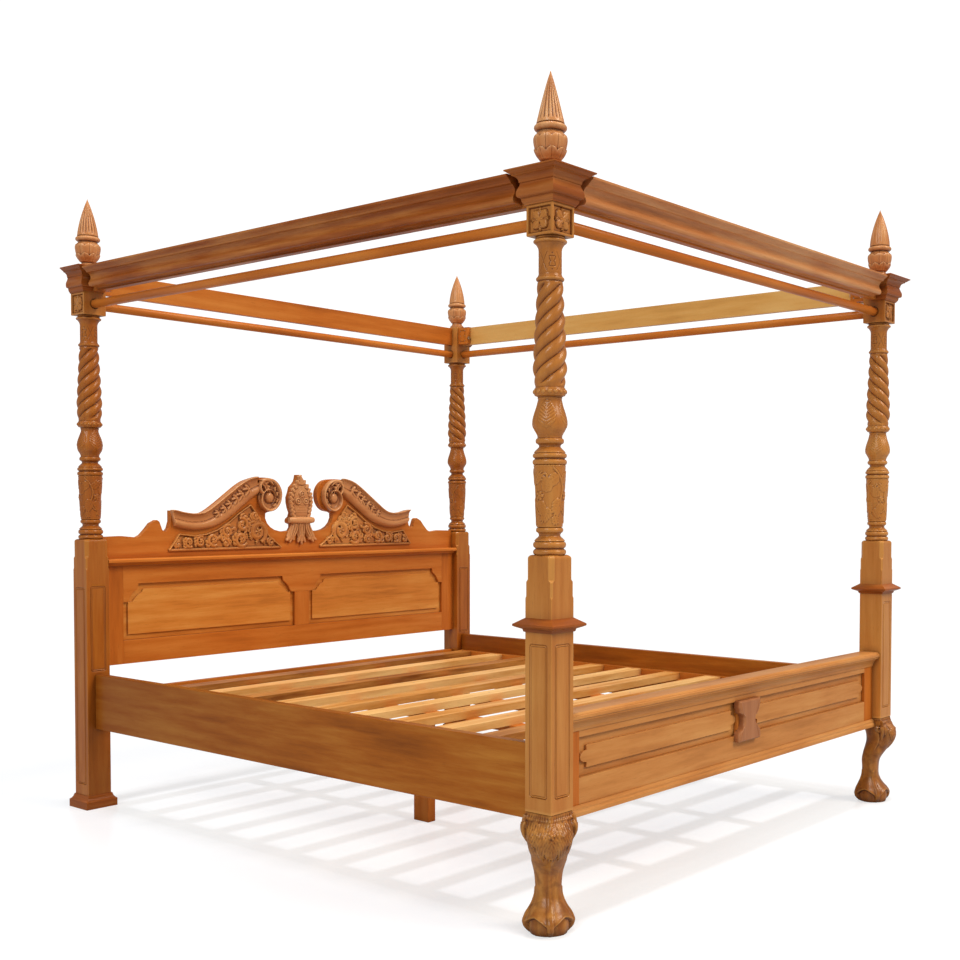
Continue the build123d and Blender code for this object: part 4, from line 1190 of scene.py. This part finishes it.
def cartouche_shells():
    """Leaf-edged shield with three ringed flowers, a rolled ledge under it and three hanging leaves."""
    half = smooth_line(SHIELD_EDGE, 4)
    outline = np.vstack([half, half[::-1] * [-1, 1]])
    shells = [plate(outline * [0.92, 1.0], BOARD_Y - 9, BOARD_Y + 1)]
    # the smooth swelling of the shield, as stacked plates drawn in towards its middle
    centre = np.array([0, 1085])
    for k in range(1, 6):
        share = 1 - 0.15 * k
        shells.append(plate(centre + (outline - centre) * [share * 0.92, share], BOARD_Y - 8 - 1.25 * k,
                            BOARD_Y - 8 - 1.25 * (k - 1) + 0.4))
    for hand in (-1, 1):
        for k in range(9):
            t = k / 8
            tip = np.array([hand * np.interp(t, [0, 0.35, 0.6, 0.85, 1], [47, 57, 55, 38, 20]), 1036 + 134 * t])
            base = tip + [-hand * (17 - 6 * t), -17]
            line = smooth_line([base, base * 0.45 + tip * 0.55 + [hand * 2.0, -1], tip], 5)
            shells.append(relief_tube(line, taper(len(line), 8.5, 0.8, 0.3, 0.5), BOARD_Y - 5, 8.5))
    nub = smooth_line([(0, 1150), (0, 1168), (-4, 1180), (-8, 1188)], 5)
    shells.append(relief_tube(nub, np.linspace(16, 8, len(nub)), BOARD_Y - 3, 11.0))
    for x, z in ((0, 1113), (-19, 1083), (19, 1083)):
        ring = arc_line(x, z, 11.0, 0, 360, 22)
        shells.append(relief_tube(ring, 3.0, BOARD_Y - 13, 5.0, 8))
        shells += strokes_as_tubes(rosette(x, z, 7.0, 5, 4.0), BOARD_Y - 13)
    for x, z in ((0, 1092), (-6, 1097), (6, 1097)):
        shells.append(relief_tube([(x - 0.5, z), (x, z), (x + 0.5, z)], 3.6, BOARD_Y - 13, 4.5, 8))
    a = np.linspace(0, 2 * pi, 18, endpoint=False)
    loops = []
    for x in np.linspace(-63, 63, 40):
        size = 10.5 * (1 - 0.30 * (abs(x) / 63) ** 5) + 0.7 * abs(sin(x / 4.5))
        loops.append(np.stack([np.full(18, x), BOARD_Y - 10 - size * np.cos(a),
                               1006 + 1.3 * size * np.sin(a)], axis=1))
    shells.append(tube_shell(loops))
    shells.append(plate([(-46, 1000), (46, 1000), (44, 972), (-44, 972)], BOARD_Y - 8, BOARD_Y + 1))
    # hanging leaves, each a broad rounded lobe that ends in three points
    for x, lean, low in ((0, 0, 905), (-30, -30, 915), (30, 30, 915)):
        spine = smooth_line([(x * 0.9, 994), (x * 1.1, 974), (x * 1.25 + lean * 0.3, 950),
                             (x + lean, low + 16)], 5)
        spread = np.interp(np.linspace(0, 1, len(spine)), [0, 0.35, 0.7, 1], [17, 21, 21, 15])
        shells.append(relief_tube(spine, spread, BOARD_Y - 2, 10.5, 14))
        for bend in (-1, 0, 1):
            tip = [(x * 1.2 + lean * 0.3, 950), (x + lean * 0.8 + bend * 12, 930),
                   (x + lean + bend * 18, low + abs(bend) * 10)]
            line = smooth_line(tip, 5)
            shells.append(relief_tube(line, taper(len(line), 9.5, 0.8, 0.3, 0.4), BOARD_Y - 4, 9.5))
            fold = smooth_line([(x + bend * 10, 990), (x * 1.15 + bend * 12, 970),
                                (x * 1.2 + lean * 0.4 + bend * 9, 940)], 4)
            shells.append(relief_tube(fold, 2.8, BOARD_Y - 11, 3.8, 8))
    return shells


def add_crest(material, bright):
    for part, node, shells, voxel, rounds, look in (
            ("neck", "swan_neck", swan_neck_shells(), 2.0, 2, material),
            ("foliage", "crest_foliage", tympanum_shells(), 1.6, 1, bright)):
        for side, placed in (("right", shells), ("left", mirror_x(shells))):
            name = part + "_" + side
            add_piece(name, remeshed(name, placed, voxel, rounds), look, [node + "_" + side])
    add_piece("shield", remeshed("shield", cartouche_shells(), 1.6, 1), material, ["cartouche"])


# ---------------------------------------------------------------- footboard block
def add_foot_block(material):
    """Waisted block with rolled and stepped sides in the middle of the footboard."""
    waist = smooth_line([(61, 354), (64, 362), (63, 376), (57, 385), (45, 392), (37, 403), (34, 417), (37, 430),
                         (47, 439), (56, 444), (58, 452), (62, 462), (61, 480)], 4)
    rings = []
    for inset, y in ((0.0, 3.0), (0.0, -14.0), (1.6, -17.0), (4.6, -18.0), (6.2, -19.4), (8.0, -20.0)):
        x = waist[:, 0] - inset
        z = 417 + (waist[:, 1] - 417) * (63 - inset * 0.6) / 63
        right = np.stack([x, np.full(len(x), FOOT_FACE + y), z], axis=1)
        rings.append(np.vstack([right, right[::-1] * [-1, 1, 1]]))
    shells = [tube_shell(rings)]
    for hand in (-1, 1):
        for line in ([(52, 360), (44, 384), (36, 400)], [(34, 432), (44, 446), (52, 472)]):
            groove = smooth_line(np.array(line) * [hand, 1], 5)
            shells.append(relief_tube(groove, 2.6, FOOT_FACE - 18, 3.6, 8))
    mesh = remeshed("foot_block", shells, 1.3, 1)
    add_piece("foot_block", mesh, material, ["footboard_ornament"])


# ---------------------------------------------------------------- CAD pieces that stay
def dress(node, material, width, segments):
    """Gives a CAD node its material and eased edges."""
    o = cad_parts[node]
    o.data.materials.clear()
    o.data.materials.append(material)
    weld = o.modifiers.new("weld", "WELD")
    weld.merge_threshold = 0.00002
    ease = o.modifiers.new("ease", "BEVEL")
    ease.width = width * MM
    ease.segments = segments
    ease.limit_method = "ANGLE"
    ease.angle_limit = radians(28)
    ease.harden_normals = True
    ease.miter_outer = "MITER_ARC"


# dark, mid and light tone of each colour of wood, as 0 to 255 values
TONES = {
    "tan": ((124, 62, 18), (190, 118, 48), (222, 160, 84)),
    "orange": ((136, 64, 16), (200, 112, 40), (224, 146, 68)),
    "gold": ((146, 76, 22), (214, 132, 54), (236, 170, 88)),
    "pale": ((134, 74, 26), (210, 144, 72), (244, 196, 128)),
    "straw": ((170, 108, 46), (224, 166, 90), (244, 202, 132)),
    "light": ((140, 76, 28), (204, 136, 72), (228, 170, 102)),
    "rose": ((124, 62, 26), (204, 132, 76), (234, 178, 122)),
    "yellow": ((86, 38, 10), (210, 130, 60), (244, 188, 108)),
    "olive": ((92, 44, 10), (164, 96, 32), (206, 146, 72)),
    "brown": ((98, 44, 10), (160, 84, 30), (204, 134, 70)),
    "deep": ((104, 48, 8), (168, 92, 24), (198, 130, 52)),
    "purple": ((108, 54, 30), (174, 112, 70), (206, 148, 100)),
}
CARVED = dict(coat=0.28, carved=True)
# grain, seed, figure, contrast, colour and whatever else a wood has of its own
WOODS = {
    "post_timber": ("Z", 1.0, 7.0, 0.35, "tan", dict(CARVED, rough=0.34)),
    "head_post_timber": ("Z", 1.6, 7.0, 0.4, "deep", dict(CARVED, rough=0.34)),
    "finial_timber": ("Z", 2.0, 9.0, 0.55, "rose", dict(CARVED, rough=0.33)),
    "leg_timber": ("Z", 3.0, 8.0, 0.45, "olive", dict(CARVED, rough=0.33, mottle=0.55)),
    "crest_timber": ("X", 4.0, 6.0, 0.3, "rose", dict(CARVED, rough=0.35)),
    "foliage_timber": ("X", 5.0, 6.0, 0.3, "yellow", dict(CARVED, rough=0.38)),
    "ornament_timber": ("Z", 6.0, 7.0, 0.3, "purple", dict(carved=True)),
    "board_timber_x": ("X", 7.0, 4.5, 0.45, "orange", {}),
    "board_timber_z": ("Z", 8.0, 5.0, 0.4, "orange", {}),
    "panel_timber": ("X", 9.0, 3.8, 0.6, "gold", {}),
    "foot_panel_timber": ("X", 9.4, 4.2, 0.5, "light", {}),
    "foot_board_timber": ("X", 7.5, 4.5, 0.45, "light", {}),
    # the side rails darken towards the head end: painted shade for the light falling off
    "rail_timber": ("Y", 10.0, 3.4, 0.6, "deep", dict(knots=True, painted_falloff_shade=("Y", -0.3, 1.0, 0.45))),
    "tester_timber_y": ("Y", 11.0, 4.5, 0.4, "orange", {}),
    "tester_timber_near": ("Y", 11.3, 6.0, 0.7, "brown", dict(coat=0.22)),
    "tester_timber_far": ("Y", 11.6, 4.5, 0.4, "straw", {}),
    "cap_timber": ("MITRE", 12.0, 5.0, 0.45, "brown", dict(coat=0.25)),
    # rose tone of the foot cornice: partly the wood's colour, partly a painted highlight, lighter and pinker
    # than the side cornices
    "cornice_timber_painted_highlight": ("X", 12.6, 6.0, 0.6, "rose", dict(coat=0.28)),
    "rod_timber_x": ("X", 13.0, 9.0, 0.3, "orange", dict(rough=0.3)),
    "rod_timber_y": ("Y", 14.0, 9.0, 0.3, "orange", dict(rough=0.3)),
    "slat_timber": ("X", 15.0, 5.0, 0.6, "pale", dict(rough=0.45, coat=0.12,
                                                      boards=("Y", 0.193, 0.01175 - 0.0965))),
    "bearer_timber": ("Y", 16.0, 5.0, 0.5, "orange", dict(rough=0.45)),
}
# material, width of the eased edge in millimetres, its segments, and the CAD nodes that have both
DRESSED = [
    ("cap_timber", 0.45, 2, ["corner_cap_" + corner for corner in CORNERS]),
    ("cap_timber", 1.5, 2, ["head_post_feet"]),
    ("cap_timber", 0.8, 2, ["foot_post_collars"]),
    ("cornice_timber_painted_highlight", 0.6, 2, ["cornice_foot"]),
    ("board_timber_x", 0.9, 2, ["tester_board_foot", "tester_board_head"]),
    ("tester_timber_near", 0.7, 2, ["tester_board_left", "cornice_left", "cornice_right"]),
    ("tester_timber_far", 0.7, 2, ["tester_board_right"]),
    ("rod_timber_x", 1.5, 2, ["curtain_rod_foot", "curtain_rod_head"]),
    ("rod_timber_y", 1.5, 2, ["curtain_rod_left", "curtain_rod_right"]),
    ("rail_timber", 2.5, 3, ["side_rail_left", "side_rail_right"]),
    ("tester_timber_y", 1.2, 2, ["slat_ledgers"]),
    ("slat_timber", 0.25, 2, ["slats"]),
    ("bearer_timber", 1.2, 2, ["slat_bearers"]),
    ("board_timber_z", 1.5, 2, ["support_legs"]),
    ("board_timber_x", 1.5, 2, ["head_cross_rail"]),
    ("screw_metal", 0.2, 2, ["slat_screws", "tester_cleat_screws"]),
    ("screw_metal", 0.5, 2, ["tester_bolts"]),
    ("board_timber_z", 1.0, 2, ["tester_cleats"]),
    ("fitting_metal", 0.3, 2, ["rail_hook_plates", "rail_keeper_plates"]),
    ("board_timber_x", 1.2, 2, ["headboard_top_rail", "headboard_bottom_rail", "headboard_shelf",
                                "crest_board"]),
    ("foot_board_timber", 0.9, 2, ["footboard_cap", "footboard_base_moulding", "footboard_top_rail",
                                   "footboard_bottom_rail"]),
    ("board_timber_z", 1.0, 2, ["headboard_stiles", "headboard_muntin", "footboard_stiles"]),
    ("panel_timber", 1.5, 2, ["headboard_panel_left", "headboard_panel_right"]),
    ("foot_panel_timber", 1.5, 2, ["footboard_panels"]),
]


def add_looks():
    """Makes every material, adds the carved pieces and dresses the CAD nodes that stay."""
    look = {}
    for name, (grain, seed, figure, contrast, colour, own) in WOODS.items():
        dark, mid, light = (srgb(*tone) for tone in TONES[colour])
        look[name] = wood(name, grain, dark, mid, light, seed=seed, figure=figure, contrast=contrast, **own)
    look["screw_metal"] = steel("screw_metal", (0.55, 0.52, 0.47, 1), 0.38)
    look["fitting_metal"] = steel("fitting_metal", (0.45, 0.45, 0.45, 1), 0.42)

    for corner in CORNERS:
        timber = look["post_timber" if corner.startswith("foot") else "head_post_timber"]
        add_shaft(corner, timber)
        add_post_block(corner, timber)
        add_post_head(corner, look["post_timber"])
        add_finial(corner, look["finial_timber"])
    for corner in ("foot_left", "foot_right"):
        add_claw_leg(corner, look["leg_timber"])
    add_crest(look["crest_timber"], look["foliage_timber"])
    add_foot_block(look["ornament_timber"])
    for name, width, segments, nodes in DRESSED:
        for node in nodes:
            dress(node, look[name], width, segments)


add_camera()
add_studio()
add_looks()
